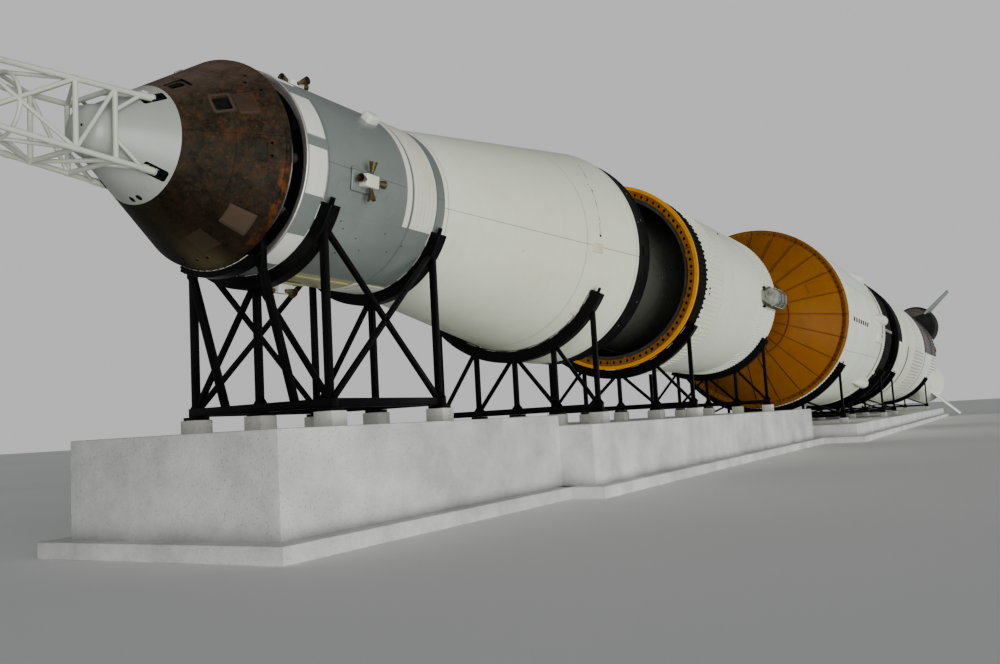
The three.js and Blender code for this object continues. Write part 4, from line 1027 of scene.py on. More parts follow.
class ROCKET_OT_cover(bpy.types.Operator):
    """Turns the apex cover and sinks the tower's wells into it"""

    bl_idname = "rocket.cover"
    bl_label = "Apex cover"

    def execute(self, context):
        form = Form("cover", "dark", "silver", "pad")
        dome_start, dome_end = -0.757, -0.791
        cone = [(s, cone_radius(s)) for s in evenly(CONE_TOP - 0.0018, dome_start, 16)]
        dome = [(dome_start + (dome_end - dome_start) * math.sin(t), cone_radius(dome_start) * math.cos(t))
                for t in evenly(0.12, math.pi / 2, 12)]
        edge = cone_radius(CONE_TOP - GAP)
        form.turned([(CONE_TOP - GAP, 0), (CONE_TOP - GAP, edge)] + cone + dome[:-1] + [(dome_end, 0)],
                    "cover", 128)
        for corner, angle in enumerate(CORNERS):
            well = on_cone(-0.686, angle)
            form.sink(form.cut(well, rounded(0.042, 0.020, 0.004)), 0.011, "dark")
            foot = leg_point(corner, FOOT)
            form.tube(foot + Vector((-0.001, 0, 0)), foot + Vector((0.012, 0, 0)), LEG * 0.8, "dark", 14)
            form.block((0.006, 0.007, 0.006), well @ Matrix.Translation((0.004, 0, -0.006)), "pad", 0.0008)
            for x, y, z, size in ((-0.009, 0.0062, -0.004, (0.016, 0.004, 0.010)),
                                  (0.006, -0.0066, -0.003, (0.022, 0.003, 0.009)),
                                  (0.0155, 0.002, -0.005, (0.004, 0.012, 0.008))):
                form.block(size, well @ Matrix.Translation((x, y, z)), "dark", 0.001)
            form.bolts([well @ Matrix.Translation((0.012, y, -0.011)) for y in (-0.005, 0.005)],
                       0.0018, 0.003, "silver")
        for angle in (-84, -94):
            hole = [(x * 1.35, y) for x, y in disc(0.0048, 14)]
            form.sink(form.cut(on_cone(-0.6745, angle), hole), 0.005, "dark")
        for station, angle in ((-0.703, -62), (-0.680, -66), (-0.70, 120), (-0.684, 60)):
            stud = [(0, 0), (0, 0.0042), (0.0006, 0.0040), (0.0010, 0.0020), (0.0006, 0.0010), (0.0006, 0)]
            form.turned(stud, "cover", 20,
                        place=on_cone(station, angle) @ Matrix.Rotation(-math.pi / 2, 4, "Y"))
        vent = on_hull(-0.786, 0, 0.016, math.radians(63))
        form.sink(form.cut(vent, disc(0.0022, 10), 0.01), 0.002, "dark")
        form.done("apex_cover_shell", stands_for=["apex_cover"], slot="cover_paint", sharp=40)
        return {"FINISHED"}


# The crew cabin

HATCH_STATION, HATCH_LENGTH, HATCH_WIDTH, HATCH_SEAM = -0.592, 0.076, 0.084, 0.005
# Station, angle, length and width of each window.
WINDOWS = ((-0.597, 27, 0.030, 0.030), (-0.637, 58, 0.026, 0.016), (-0.637, 122, 0.026, 0.016),
           (-0.597, 153, 0.030, 0.030))
THRUSTER_HOLES = ((-0.535, -0.4), (-0.535, -7.6), (-0.545, 41.0), (-0.536, 47.0), (-0.530, 33.0),
                  (-0.535, 180.4), (-0.535, 187.6), (-0.545, 139.0), (-0.535, 268.0), (-0.535, 276.0))
HINGE_Y, HINGE_DROP = 0.0392, 0.0005


def cabin_outline():
    """The cabin's outer line, from the middle of its top to the middle of its blunt shield."""
    cone = [(s, cone_radius(s)) for s in evenly(CONE_TOP, -0.515, 26)]
    rim = [(-0.512, 0.1938), (-0.509, 0.1949), (-0.506, CABIN_RADIUS), (-0.502, CABIN_RADIUS),
           (-0.498, 0.1935), (-0.494, 0.1875)]
    shield = [(-0.488, 0.170), (-0.481, 0.150), (-0.4745, 0.115), (-0.469, 0.080), (-0.464, 0.040)]
    return [(CONE_TOP, 0), *cone, *rim, *shield, (-0.462, 0)]


def hinge_point(along):
    radius = cone_radius(HATCH_STATION)
    height = math.sqrt(radius ** 2 - HINGE_Y ** 2)
    slope = math.atan(CONE_SLOPE * radius / height)
    return AXIS @ Vector((HATCH_STATION + along * math.cos(slope), HINGE_Y,
                          height - HINGE_DROP + along * math.sin(slope)))


class ROCKET_OT_cabin(bpy.types.Operator):
    """Turns the hollow cabin, cuts its windows and its hatch, and hangs the hatch"""

    bl_idname = "rocket.cabin"
    bl_label = "Crew cabin"

    def execute(self, context):
        form = Form("charred", "dark", "inside")
        form.turned(cabin_outline(), "charred", 144)
        hatch = on_cone(HATCH_STATION, 90)
        opening = rounded(HATCH_LENGTH, HATCH_WIDTH, 0.008)
        gone = form.cut(hatch, opening, 0.06)
        recess = [(-0.020, -0.011), (0.022, -0.017), (0.022, 0.017), (-0.020, 0.011)]
        for angle in (58, 122):
            form.sink(form.cut(on_cone(-0.637, angle), recess), 0.003, "dark", 0.0012)
        for station, angle, length, width in WINDOWS:
            gone += form.cut(on_cone(station, angle), rounded(length, width, 0.003))
        bmesh.ops.delete(form.bm, geom=gone, context="FACES")
        for station, angle in THRUSTER_HOLES:
            ring = form.cut(on_cone(station, angle), disc(0.0062, 20))
            form.sink(ring, -0.0005, "charred", 0.0003)
            form.sink(form.cut(on_cone(station, angle), disc(0.0030, 14)), 0.006, "dark", 0.0002)
        shell = form.done("cabin_shell_outer", stands_for=["cabin_shell"], slot="charred_shell", sharp=28)
        wall = shell.modifiers.new("wall", "SOLIDIFY")
        wall.thickness = 0.009
        wall.offset = -1.0
        wall.material_offset = 2
        wall.material_offset_rim = 0

        form = Form("glass", "frame")
        for station, angle, length, width in WINDOWS:
            place = on_cone(station, angle, -0.006)
            form.plate(rounded(length + 0.006, width + 0.006, 0.004), 0.0025, place, "glass")
            frame_place = on_cone(station, angle, -0.0012 if length == width else -0.0042)
            outer = rounded(length + 0.011, width + 0.011, 0.005)
            form.plate(outer, 0.0018, frame_place, "frame", 0.0005)
            bmesh.ops.delete(form.bm, geom=form.cut(frame_place, rounded(length, width, 0.003), 0.004),
                             context="FACES")
        form.done("cabin_windows", slot="charred_shell")

        form = Form("silver")
        for end in (1, -1):
            near, far = (hinge_point(end * a) for a in (0.011, 0.024))
            form.tube(near, far, 0.0019, "silver")
            shift = Vector((0, 0.0024, -0.001))
            form.tube(near + shift, far + shift, 0.0019, "silver")
        form.done("hatch_lugs", slot="charred_shell")

        form = Form("charred", "silver")
        form.turned(cabin_outline(), "charred", 144)
        smaller = rounded(HATCH_LENGTH - 2 * HATCH_SEAM, HATCH_WIDTH - 2 * HATCH_SEAM, 0.006)
        kept = set(form.cut(hatch, smaller, 0.06))
        spare = [face for face in form.bm.faces if face not in kept]
        bmesh.ops.delete(form.bm, geom=spare, context="FACES")
        bmesh.ops.solidify(form.bm, geom=form.bm.faces[:], thickness=0.009)
        form.dress("charred")
        form.tube(hinge_point(-0.009), hinge_point(0.009), 0.0026, "silver", 18)
        grip = on_cone(HATCH_STATION, 90, 0.0012) @ Matrix.Translation((0, -0.020, 0))
        form.block((0.020, 0.004, 0.003), grip, "silver", 0.001)
        form.done("cabin_hatch_panel", body="cabin_hatch", stands_for=["cabin_hatch"], slot="charred_shell")
        return {"FINISHED"}


# The service section

FRONT_PANELS = ((-22.0, 4.0), (10.5, 37.5), (-70.0, -46.0), (52.0, 79.0), (101.0, 128.0), (142.5, 169.5),
                (176.0, 202.0), (226.0, 250.0))
REAR_RADIATORS = ((-26.0, 104.0), (154.0, 284.0))
QUAD_STATION, QUAD_ANGLES = -0.295, (-7, 83, 173, 263)


class ROCKET_OT_service(bpy.types.Operator):
    """Turns the service section's ring and body, with radiators, ports and thrusters"""

    bl_idname = "rocket.service"
    bl_label = "Service section"

    def execute(self, context):
        front, aft, radius = ends("service_ring")
        form = Form("service", "lip", "panel", "dark", "pump", "inside")
        dish = [(front + 0.020, 0), (front + 0.020, 0.160), (front + 0.004, radius - 0.0085)]
        form.turned(dish, "dark", 128, closed=False)
        form.turned([(front + 0.0036, radius - 0.0085), (front + 0.0090, 0.178)], "lip", 128, closed=False)
        form.turned(
            [(front + 0.004, radius - 0.0088), (front + 0.0005, radius - 0.0080), (front, radius - 0.0070),
             (front, radius - 0.0012), (front + 0.0012, radius), (front + 0.0030, radius),
             (front + 0.0034, radius - 0.0010), (front + 0.0034, radius - 0.0088)],
            "lip", 160,
        )
        form.band(front + 0.0040, aft, radius - 0.005, 0.0038, "service", 160)
        for low, high in FRONT_PANELS:
            form.band(front + 0.0055, aft - 0.0015, radius - 0.001, 0.001, "panel", 14, (low, high))
        for count, (spread, size) in enumerate(((0.145, 0.011), (0.122, 0.016), (0.168, 0.006))):
            for angle in circle_of(9, 14.0 * count):
                place = on_hull(front + 0.021, angle, spread)
                bottle = [(-size * 0.8 * math.sin(t), size * math.cos(t)) for t in evenly(0, 1.4, 5)]
                form.turned(bottle + [(-size * 0.8, 0)], "inside", 16, place=place, closed=False)
        for angle in circle_of(6, 20.0):
            place = on_hull(front + 0.012, angle, 0.168)
            form.block((0.012, 0.020, 0.014), place, "dark", 0.002)
        points = [(front + 0.010 + 0.002 * math.sin(5 * t), 0.150 * math.cos(t), 0.150 * math.sin(t))
                  for t in evenly(0, math.tau, 48)]
        form.pipe(points[:-2], 0.0022, "pump", 8, AXIS)
        form.done("service_ring_skin", stands_for=["service_ring"], slot="white_paint")

        front, aft, radius = ends("service_body")
        form = Form("service", "panel", "dark")
        form.turned([(front, 0), (front, radius - 0.001),
                     *((s, radius) for s in evenly(front + 0.001, aft - 0.001, 25)),
                     (aft, radius - 0.001), (aft, 0)], "service", 160)
        for low, high in REAR_RADIATORS:
            form.band(-0.146, -0.129, radius, 0.0010, "panel", 60, (low, high))
            for ridge in range(6):
                start = -0.1205 + ridge * 0.0141
                form.band(start, start + 0.0134, radius, 0.0011, "panel", 60, (low, high))
        for station, angle in ((-0.353, -15.5), (-0.206, -16.7), (-0.34, 195), (-0.21, 196), (-0.25, 120)):
            form.sink(form.cut(on_hull(station, angle, radius), disc(0.022, 28)), 0.0003, "service")
        for angle in (44.0, 136.0):
            place = on_hull(-0.197, angle, radius) @ Matrix.Rotation(0.20, 4, "Z")
            form.block((0.045, 0.026, 0.034), place, "panel", 0.0080, 4)
        for low in (96.0, 279.0):
            form.band(-0.39, -0.16, radius, 0.003, "service", 4, (low, low + 3.0))
        form.bolts([on_hull(s, -27.0, radius) for s in evenly(-0.355, -0.135, 36)], 0.0008, 0.0005, "service")
        form.bolts([on_hull(s, a, radius) for s in (-0.396, -0.030) for a in circle_of(72, 1.0)],
                   0.0009, 0.0006, "service")
        spots = ((-0.32, -36), (-0.27, -40), (-0.24, -47), (-0.335, -32), (-0.30, -52), (-0.19, -33),
                 (-0.155, -44), (-0.12, -38))
        for station, angle in spots:
            form.bolts([on_hull(station, angle, radius)], 0.0016, 0.0004, "dark", 12)
        form.done("service_body_skin", stands_for=["service_body"], slot="grey_paint")

        foot = CABIN_RADIUS + GAP
        for number, angle in enumerate(QUAD_ANGLES, 1):
            form = Form("panel", "service", "nozzle")
            place = on_hull(QUAD_STATION, angle, foot)
            for size, lift, paint, bevel in (((0.082, 0.046, 0.0045), 0.0022, "service", 0.002),
                                             ((0.040, 0.026, 0.0225), 0.0125, "panel", 0.003)):
                form.block(size, place @ Matrix.Translation((0, 0, lift)), paint, bevel, 3)
            form.bolts([place @ Matrix.Translation((x, y, 0.0044)) for x in (-0.037, -0.012, 0.012, 0.037)
                        for y in (-0.019, 0.019)], 0.0010, 0.0005, "service")
            for turn in range(4):
                arm = place @ Matrix.Translation((0, 0, 0.016)) @ Matrix.Rotation(turn * math.pi / 2, 4, "Z")
                form.turned(
                    [(0.010, 0), (0.010, 0.0036), (0.013, 0.0044), (0.016, 0.0034), (0.024, 0.0055),
                     (0.0365, 0.0084), (0.0380, 0.0087), (0.0380, 0.0077), (0.025, 0.0045),
                     (0.017, 0.0022), (0.016, 0)],
                    "nozzle", 28, place=arm @ Matrix.Rotation(math.radians(-8), 4, "Y"),
                )
            form.done(f"thruster_group_{number}", stands_for=[f"thruster_quad_{number}"], slot="white_paint")
        return {"FINISHED"}


# The adapter with its instrument ring, and the engine inside

ADAPTER_LIP = 0.008


def adapter_hull(station):
    """The radius of the adapter's cone, which ends where its rear lip starts."""
    _, aft, radius = ends("adapter")
    return CABIN_RADIUS + (radius - CABIN_RADIUS) * station / (aft - ADAPTER_LIP + GAP)


class ROCKET_OT_adapter(bpy.types.Operator):
    """Turns the adapter's hollow cone, the instrument ring and the bell inside"""

    bl_idname = "rocket.adapter"
    bl_label = "Adapter"

    def execute(self, context):
        front, aft, radius = ends("adapter")
        wall = 0.005
        form = Form("adapter", "inside", "corn", "dark", "pad", "nozzle")
        straight = aft - ADAPTER_LIP + GAP
        cone = [(straight * i / 24, CABIN_RADIUS + (radius - CABIN_RADIUS) * i / 24) for i in range(25)]
        form.turned(cone + [(aft, radius), (aft, radius - 0.014), (straight, radius - 0.014),
                            (straight - 0.004, radius - wall), (0.014, CABIN_RADIUS - wall), (0.008, 0.150),
                            (0, 0.150)], "adapter", 192)
        form.turned([(straight - 0.0045, radius - wall - 0.0004), (0.0145, CABIN_RADIUS - wall - 0.0004)],
                    "inside", 96, closed=False)

        for station in evenly(0.10, 0.74, 8):
            inner = adapter_hull(station) - wall
            form.band(station - 0.003, station + 0.003, inner - 0.010, 0.010, "inside", 72)
        lean = math.atan((radius - CABIN_RADIUS) / straight)
        for station, angle, size, paint in (
            (0.628, -8, (0.050, 0.026, 0.007), "corn"), (0.644, 7, (0.016, 0.010, 0.004), "corn"),
            (0.640, -1, (0.008, 0.006, 0.004), "dark"), (0.632, -45, (0.030, 0.022, 0.008), "corn"),
            (0.30, -20, (0.012, 0.006, 0.003), "corn"), (0.52, 150, (0.020, 0.009, 0.004), "corn"),
            (0.62, 200, (0.016, 0.008, 0.004), "corn"), (0.70, -38, (0.010, 0.007, 0.004), "pad"),
            (0.662, 30, (0.004, 0.004, 0.002), "dark"), (0.668, 26, (0.003, 0.003, 0.002), "dark"),
        ):
            place = on_hull(station, angle, adapter_hull(station), lean)
            form.block(size, place, paint, min(size) * 0.4, 3)
        tape = [(0.638, -1.0), (0.644, 7.0), (0.652, 17.0), (0.664, 26.0), (0.692, 38.0), (0.725, 48.0)]
        form.pipe([on_hull(s, a, adapter_hull(s)).translation for s, a in tape], 0.0013, "nozzle", 6)
        form.bolt_ring(0.833, adapter_hull(0.833), 120, 1.5, (0.0011, 0.0008), "adapter")
        form.bolt_ring(0.008, adapter_hull(0.008), 72, 1.5, (0.0009, 0.0006), "adapter")
        form.bolts([on_hull(s, a, adapter_hull(s), lean) for a in QUAD_ANGLES
                    for s in evenly(0.05, 0.81, 19)], 0.0010, 0.0007, "adapter")
        form.done("adapter_shell", stands_for=["adapter"], slot="white_paint")

        front, aft, radius = ends("instrument_ring")
        lip, wall = 0.014, 0.005
        form = Form("black", "inside", "silver", "foil")
        flange = lip * 0.57
        form.turned([(front, radius), (front + 0.002, radius), (front + 0.003, radius - 0.0006),
                     (aft - 0.003, radius - 0.0006), (aft - 0.002, radius), (aft, radius),
                     (aft, radius - lip), (aft - flange, radius - lip), (aft - flange, radius - wall),
                     (front + flange, radius - wall), (front + flange, radius - lip),
                     (front, radius - lip)], "black", 192)
        form.bolts([on_hull(s, a, radius - 0.0006) for s in (front + 0.006, aft - 0.006)
                    for a in circle_of(120, 0.5)], 0.0012, 0.0009, "black")
        form.face_ring(aft, radius - 0.009, 72, 1, (0.0013, 0.001), "silver")
        for number, angle in enumerate(circle_of(24, 7.5)):
            place = on_hull((front + aft) / 2, angle, radius - wall - 0.011)
            wide = (0.046, 0.030, 0.060, 0.038)[number % 4]
            form.block((0.056, wide, 0.020), place, ("inside", "foil", "silver")[number % 3], 0.002)
        form.block((0.022, 0.030, 0.002), on_hull((front + aft) / 2, -3, radius), "black", 0.0008)
        form.bolts([on_hull((front + aft) / 2 + dx, a, radius - 0.0004)
                    for dx, a in ((-0.02, 12), (0.01, 14), (0.02, -30), (-0.01, -45), (0.0, 30))],
                   0.002, 0.001, "silver", 12)
        form.done("instrument_ring_skin", stands_for=["instrument_ring"], slot="black_paint")

        form = Form("bell", "throat", "pump")
        engine_bell(form, [(0.0003, 0.070), (0.040, 0.060), (0.070, 0.024), (0.090, 0.036), (0.140, 0.068),
                           (0.200, 0.094), (0.279, 0.117), (0.280, 0.118)], 0.005, AXIS, 64)
        form.pipe([(0.02, 0.03, 0.066), (0.05, 0.03, 0.06), (0.075, 0.02, 0.034)], 0.006, "pump", 12, AXIS)
        form.done("service_engine_bell", stands_for=["service_engine"], slot="bell_metal")
        return {"FINISHED"}


# Engines


def wrap_bell(bm, faces, place, length):
    """Wraps a turned shape: U runs once round its axis and V runs from its head to its exit."""
    layer = bm.loops.layers.uv.get("wrap") or bm.loops.layers.uv.new("wrap")
    back = place.inverted()
    for face in faces:
        middle = back @ face.calc_center_median()
        centre = math.atan2(middle.z, middle.y) / math.tau
        for loop in face.loops:
            spot = back @ loop.vert.co
            turn = math.atan2(spot.z, spot.y) / math.tau
            turn += round(centre - turn)
            loop[layer].uv = (turn, spot.x / length)


def engine_bell(form, outline, wall, place, segments=72):
    """A bell from its outer line: the outside, the rim, and the inside down to a closed throat."""
    length = outline[-1][0]
    throat = min(outline[1:], key=lambda point: point[1])
    outer = form.turned([(outline[0][0], 0)] + outline, "bell", segments, closed=False, place=place)
    wrap_bell(form.bm, outer, place, length)
    inner = [(x, r - wall) for x, r in reversed(outline) if x >= throat[0]]
    lining = form.turned([outline[-1]] + inner + [(throat[0] - wall, 0)], "throat", segments, closed=False,
                         place=place)
    for face in lining:
        face.normal_flip()
    wrap_bell(form.bm, lining, place, length)


ENGINES = {
    # length, dome, chamber, throat, manifold, exit, wall, turbine, circle, block, ear
    "first": (0.560, 0.052, 0.050, 0.044, 0.104, 0.183, 0.007, 0.062, 0.462, 0.034, 0.008),
    "small": (0.335, 0.027, 0.024, 0.019, 0.062, 0.105, 0.005, 0.030, 0.267, 0.020, 0.005),
}


def make_engine(kind, fixed):
    """An engine along local X from its gimbal's pin: dome, chamber, bell with hoops, manifold,
    turbine, exhaust duct, and feed pipes."""
    length, dome, chamber, throat, manifold, exit_radius, wall, turbine, _, block, ear = ENGINES[kind]
    form = Form("bell", "throat", "pump", "silver")
    head = block * 0.62
    neck = length * 0.27
    wrap = length * 0.5
    here = Matrix()

    def bell_radius(station):
        share = max(0.0, (station - neck) / (length - neck))
        return throat + (exit_radius - throat) * (1 - (1 - share) ** 1.9)

    collar = manifold * 0.24
    outline = [(head, dome * 0.5), (head * 1.35, dome * 0.86), (head * 1.7, dome),
               (head * 1.7 + 0.004, dome), (head * 1.7 + 0.005, chamber * 1.02),
               (neck - chamber * 0.6, chamber), (neck - chamber * 0.25, (chamber + throat) * 0.48),
               (neck, throat)]
    hoops = 7 if kind == "first" else 5
    stations = [neck + (length - neck) * (i / 22) for i in range(1, 23)]
    outline += [(s, bell_radius(s)) for s in stations]
    engine_bell(form, outline, wall, here, 72)
    for number in range(hoops):
        station = neck + (length - neck) * (0.22 + 0.74 * number / (hoops - 1))
        if abs(station - wrap) < collar * 1.2:
            continue
        radius = bell_radius(station) - wall * 0.2
        thick = wall * (0.9 if number < hoops - 1 else 0.6)
        faces = form.turned([(station - thick, radius), (station - thick * 0.7, radius + thick * 0.9),
                             (station + thick * 0.7, radius + thick * 0.9), (station + thick, radius)],
                            "bell", 72, place=here)
        wrap_bell(form.bm, faces, here, length)
    ring_radius = bell_radius(wrap)
    section = [(wrap + collar * 0.8 * math.cos(t), ring_radius + collar * 0.42 + collar * 0.56 * math.sin(t))
               for t in (math.tau * i / 14 for i in range(14))]
    form.turned(section, "pump", 72, place=here)
    pump_radius = turbine * 0.5
    pump_off = chamber + pump_radius * 0.8
    first, last = head * 2.4, neck * 1.1
    body = last - first
    pump = Matrix.Translation((first, 0, pump_off))
    form.turned([(0, 0), (0, pump_radius * 0.7), (body * 0.06, pump_radius), (body * 0.30, pump_radius),
                 (body * 0.33, pump_radius * 0.86), (body * 0.55, pump_radius * 0.86),
                 (body * 0.58, pump_radius), (body * 0.92, pump_radius), (body, pump_radius * 0.6),
                 (body, 0)], "pump", 40, place=pump)
    form.pipe([(last - 0.004, 0, pump_off), (last + (wrap - last) * 0.5, 0, pump_off),
               (wrap - collar * 0.2, 0, ring_radius + collar * 0.5)], turbine * 0.22, "pump", 18)
    for side in (1, -1):
        form.pipe([(first + body * 0.15, side * pump_radius * 0.6, pump_off),
                   (first + body * 0.10, side * (pump_radius + turbine * 0.25), pump_off - turbine * 0.2),
                   (first + body * 0.05, side * (chamber + turbine * 0.30), pump_off - turbine * 0.8),
                   (head * 1.7 + 0.004, side * dome * 0.72, 0)], turbine * 0.15, "silver", 14)
    form.pipe([(head * 1.5, 0, -dome * 0.8), (head * 2.2, 0, -chamber - turbine * 0.35),
               (neck, 0, -chamber - turbine * 0.35),
               (neck + (wrap - neck) * 0.6, 0, -bell_radius(neck * 1.6))], turbine * 0.11, "silver", 12)
    rim = Matrix.Translation((head * 1.7 + 0.004, 0, dome * 0.93)) @ Matrix.Rotation(math.pi / 2, 4, "Y")
    form.bolts([Matrix.Rotation(math.radians(a), 4, "X") @ rim for a in circle_of(24)], dome * 0.045,
               dome * 0.06, "silver")
    near = block / 2 + 0.001
    if fixed:
        reach = block / 2 + ear
        form.block((head + 0.001 + reach, 2 * near, 2 * near),
                   Matrix.Translation(((head + 0.001 - reach) / 2, 0, 0)), "pump", 0.002)
    else:
        for side in (1, -1):
            place = Matrix.Translation(((head * 1.5 - ear) / 2, side * (near + ear / 2), 0))
            form.block((head * 1.5 + ear, ear, 2 * ear), place, "pump", ear * 0.18)
            end = side * (near + ear)
            form.tube((0, end, 0), (0, end + side * ear * 0.16, 0), ear * 0.62, "silver", 20)
    mesh = bpy.data.meshes.new("engine")
    form.bm.faces.layers.int.remove(form.seen)
    form.bm.to_mesh(mesh)
    form.bm.free()
    return mesh, form.paints


class ROCKET_OT_engines(bpy.types.Operator):
    """Makes one engine of each kind and sets a copy at each of its places"""

    bl_idname = "rocket.engines"
    bl_label = "Engines"

    def execute(self, context):
        joints = {joint["child"]: Vector(joint["pos_m"]) for joint in frame["joints"]}
        meshes = {(kind, fixed): make_engine(kind, fixed) for kind in ENGINES for fixed in (True, False)}

        def put(node, body, kind, corner, pin):
            fixed = body == "root"
            mesh, paints = meshes[kind, fixed]
            mesh = mesh.copy()
            turn = 0.0 if corner is None else math.radians(-90 - corner)
            mesh.transform(Matrix.Translation(pin) @ Matrix.Rotation(turn, 4, "X"))
            as_piece(node + "_detail", mesh, paints, body, [node])

        for stage, kind in (("first", "first"), ("second", "small")):
            pins = [joints[f"{stage}_engine_{number}"] for number in (1, 2, 3, 4)]
            middle = Vector((pins[0].x, 0, AXIS_HEIGHT))
            put(f"{stage}_engine_centre", "root", kind, None, middle)
            for number, pin in enumerate(pins, 1):
                put(f"{stage}_engine_{number}", f"{stage}_engine_{number}", kind, number * 90 - 45, pin)
        put("third_engine", "third_engine", "small", None, joints["third_engine"])

        for node, placed in frame["nodes"].items():
            if "_gimbal" in node:
                placed.data.materials.clear()
                placed.data.materials.append(PAINTS["silver"])
        return {"FINISHED"}


# The third stage


POD_ANGLES = (-3.5, 176.5)


class ROCKET_OT_third(bpy.types.Operator):
    """Turns the third stage with its pierced ring, ribbed skirts, pods and thrust cone"""

    bl_idname = "rocket.third_stage"
    bl_label = "Third stage"

    def execute(self, context):
        rib = context.scene.rocket_sizes.rib
        self.pierced_ring()
        self.barrel(rib)
        self.dome()
        self.thrust_cone()
        for number, angle in enumerate(POD_ANGLES, 1):
            self.pod(number, angle)
        return {"FINISHED"}

    def pierced_ring(self):
        """One hole's sector of the face is copied round, then given its thickness."""
        front, aft, outer = ends("third_front_ring")
        inner, holes, hole, hole_circle, rim = 0.301, 76, 0.0060, 0.3110, 0.012
        form = Form("orange", "yellow", "inside")
        pitch = 360.0 / holes
        bm = form.bm
        points = [(outer - rim, a) for a in evenly(-pitch / 2, pitch / 2, 4)]
        points += [(inner, a) for a in evenly(pitch / 2, -pitch / 2, 4)]
        corners = [bm.verts.new(on_hull(front, a, r).translation) for r, a in points]
        edge = [bm.edges.new(pair) for pair in zip(corners, corners[1:] + corners[:1])]
        start = on_hull(front, 0, hole_circle) @ Matrix.Rotation(math.pi / 2, 4, "Y")
        made = bmesh.ops.create_circle(bm, cap_ends=False, segments=14, radius=hole, matrix=start)
        circle = list({e for corner in made["verts"] for e in corner.link_edges})
        bmesh.ops.bridge_loops(bm, edges=edge + circle)
        bmesh.ops.spin(bm, geom=bm.verts[:] + bm.edges[:] + bm.faces[:], cent=AXIS.translation,
                       axis=(1, 0, 0), angle=math.tau, steps=holes, use_duplicate=True, use_merge=False)
        bmesh.ops.remove_doubles(bm, verts=bm.verts[:], dist=1e-5)
        for face in bm.faces:
            if face.normal.x > 0:
                face.normal_flip()
        bmesh.ops.solidify(bm, geom=bm.faces[:], thickness=aft - front - 0.002)
        form.dress("orange", outward=False)
        form.turned([(front, outer - rim), (front, outer - 0.001), (front + 0.001, outer),
                     (aft - 0.001, outer), (aft, outer - 0.001), (aft, outer - rim)], "yellow", 192)
        # Painted shade: a dark band, sunk a little, along the ring's inner edge.
        form.turned([(front + 0.003, 0.288), (front + 0.003, inner + 0.0005), (aft - 0.0005, inner + 0.0005),
                     (aft - 0.0005, 0.288)], "inside", 144)
        for angle in circle_of(12, 8.0):
            form.block((0.005, 0.011, 0.006), on_hull(front + 0.003, angle, inner - 0.002), "orange", 0.001)
        form.done("third_ring_pierced", stands_for=["third_front_ring"], slot="orange_paint")

    def barrel(self, rib):
        front, aft, _ = ends("third_barrel")
        radius = THIRD_RADIUS
        inner = radius - 0.007
        bulkhead, rear = 1.721, 2.401
        black_end, ribs_end, rear_ribs = 1.532, 1.744, 2.361
        form = Form("third", "black", "inside", "dark", "orange")
        form.turned([(front, inner), (front, radius - 0.001), (front + 0.001, radius),
                     (aft - 0.006, radius), (aft - 0.006, inner)], "third", 192)
        form.turned([(aft - 0.0055, inner - 0.0002), (aft - 0.0055, radius + 0.0004),
                     (aft, radius + 0.0004), (aft, inner - 0.0002)], "orange", 192)
        for edge, wall in ((front + 0.0002, bulkhead), (aft - 0.006, rear)):
            form.turned([(edge, inner - 0.0004), (wall, inner - 0.0004), (wall, 0)], "inside", 128,
                        closed=False)
        form.band(front + 0.0003, black_end, radius, 0.0006, "black")
        form.ribs(front + 0.004, black_end - 0.002, radius + 0.0006, "black", 120, 0.0062, rib)
        form.ribs(black_end - 0.002, black_end + 0.010, radius, "black", 60, 0.0080, rib)
        form.ribs(black_end + 0.012, ribs_end - 0.004, radius, "third", 120, 0.0058, rib)
        form.ribs(rear_ribs + 0.006, aft - 0.012, radius, "third", 150, 0.0048, rib)
        for station in (ribs_end, rear_ribs):
            form.band(station - 0.0014, station + 0.0014, radius, 0.0009, "third")
        form.bolt_ring(rear_ribs + 0.003, radius, 150, 1.0, (0.0011, 0.0009), "dark")
        for first, last in ((front + 0.01, bulkhead - 0.01), (rear + 0.01, aft - 0.02)):
            for station in evenly(first, last, 5):
                form.band(station - 0.002, station + 0.002, inner - 0.008, 0.008, "inside", 96)
            for angle in circle_of(24, 3.0):
                place = on_hull((first + last) / 2, angle, inner - 0.005)
                form.block((last - first, 0.004, 0.008), place, "inside")
        form.bolts([on_hull(station, angle, radius) for station, angle in (
            (1.575, -11.0), (1.577, -14.4), (2.0, 40.0), (2.1, 150.0))], 0.004, 0.004, "dark", 12)
        for angle in (100, 262):
            form.tunnel(1.560, 2.160, 0.030, 0.013, angle, radius, "third")
        form.done("third_barrel_skin", stands_for=["third_barrel"], slot="white_paint")

    def dome(self):
        front, base, wide = ends("third_front_dome")
        bulge = base - front
        form = Form("dome", "silver")

        def at(share):
            turn = share * math.pi / 2
            return base - bulge * math.sin(turn), wide * math.cos(turn)

        form.turned([(base, 0), *(at(share) for share in evenly(0.0, 0.985, 18)), (front, 0)], "dome", 128)
        for share in (0.30, 0.62):
            s, r = at(share)
            form.turned([(s - 0.003, r - 0.002), (s - 0.002, r + 0.0026), (s + 0.002, r + 0.0026),
                         (s + 0.003, r - 0.002)], "dome", 128)
        lines = [(share, a) for a in circle_of(12, 6.0) for share in evenly(0.06, 0.60, 16)]
        lines += [(share, a) for a in circle_of(96) for share in (0.30, 0.62)]
        studs = [on_hull(at(share)[0], a, at(share)[1] + 0.001, share * math.pi / 2) for share, a in lines]
        form.bolts(studs, 0.0012, 0.0016, "silver")
        form.done("third_dome_panels", stands_for=["third_front_dome"], slot="primer", sharp=45)

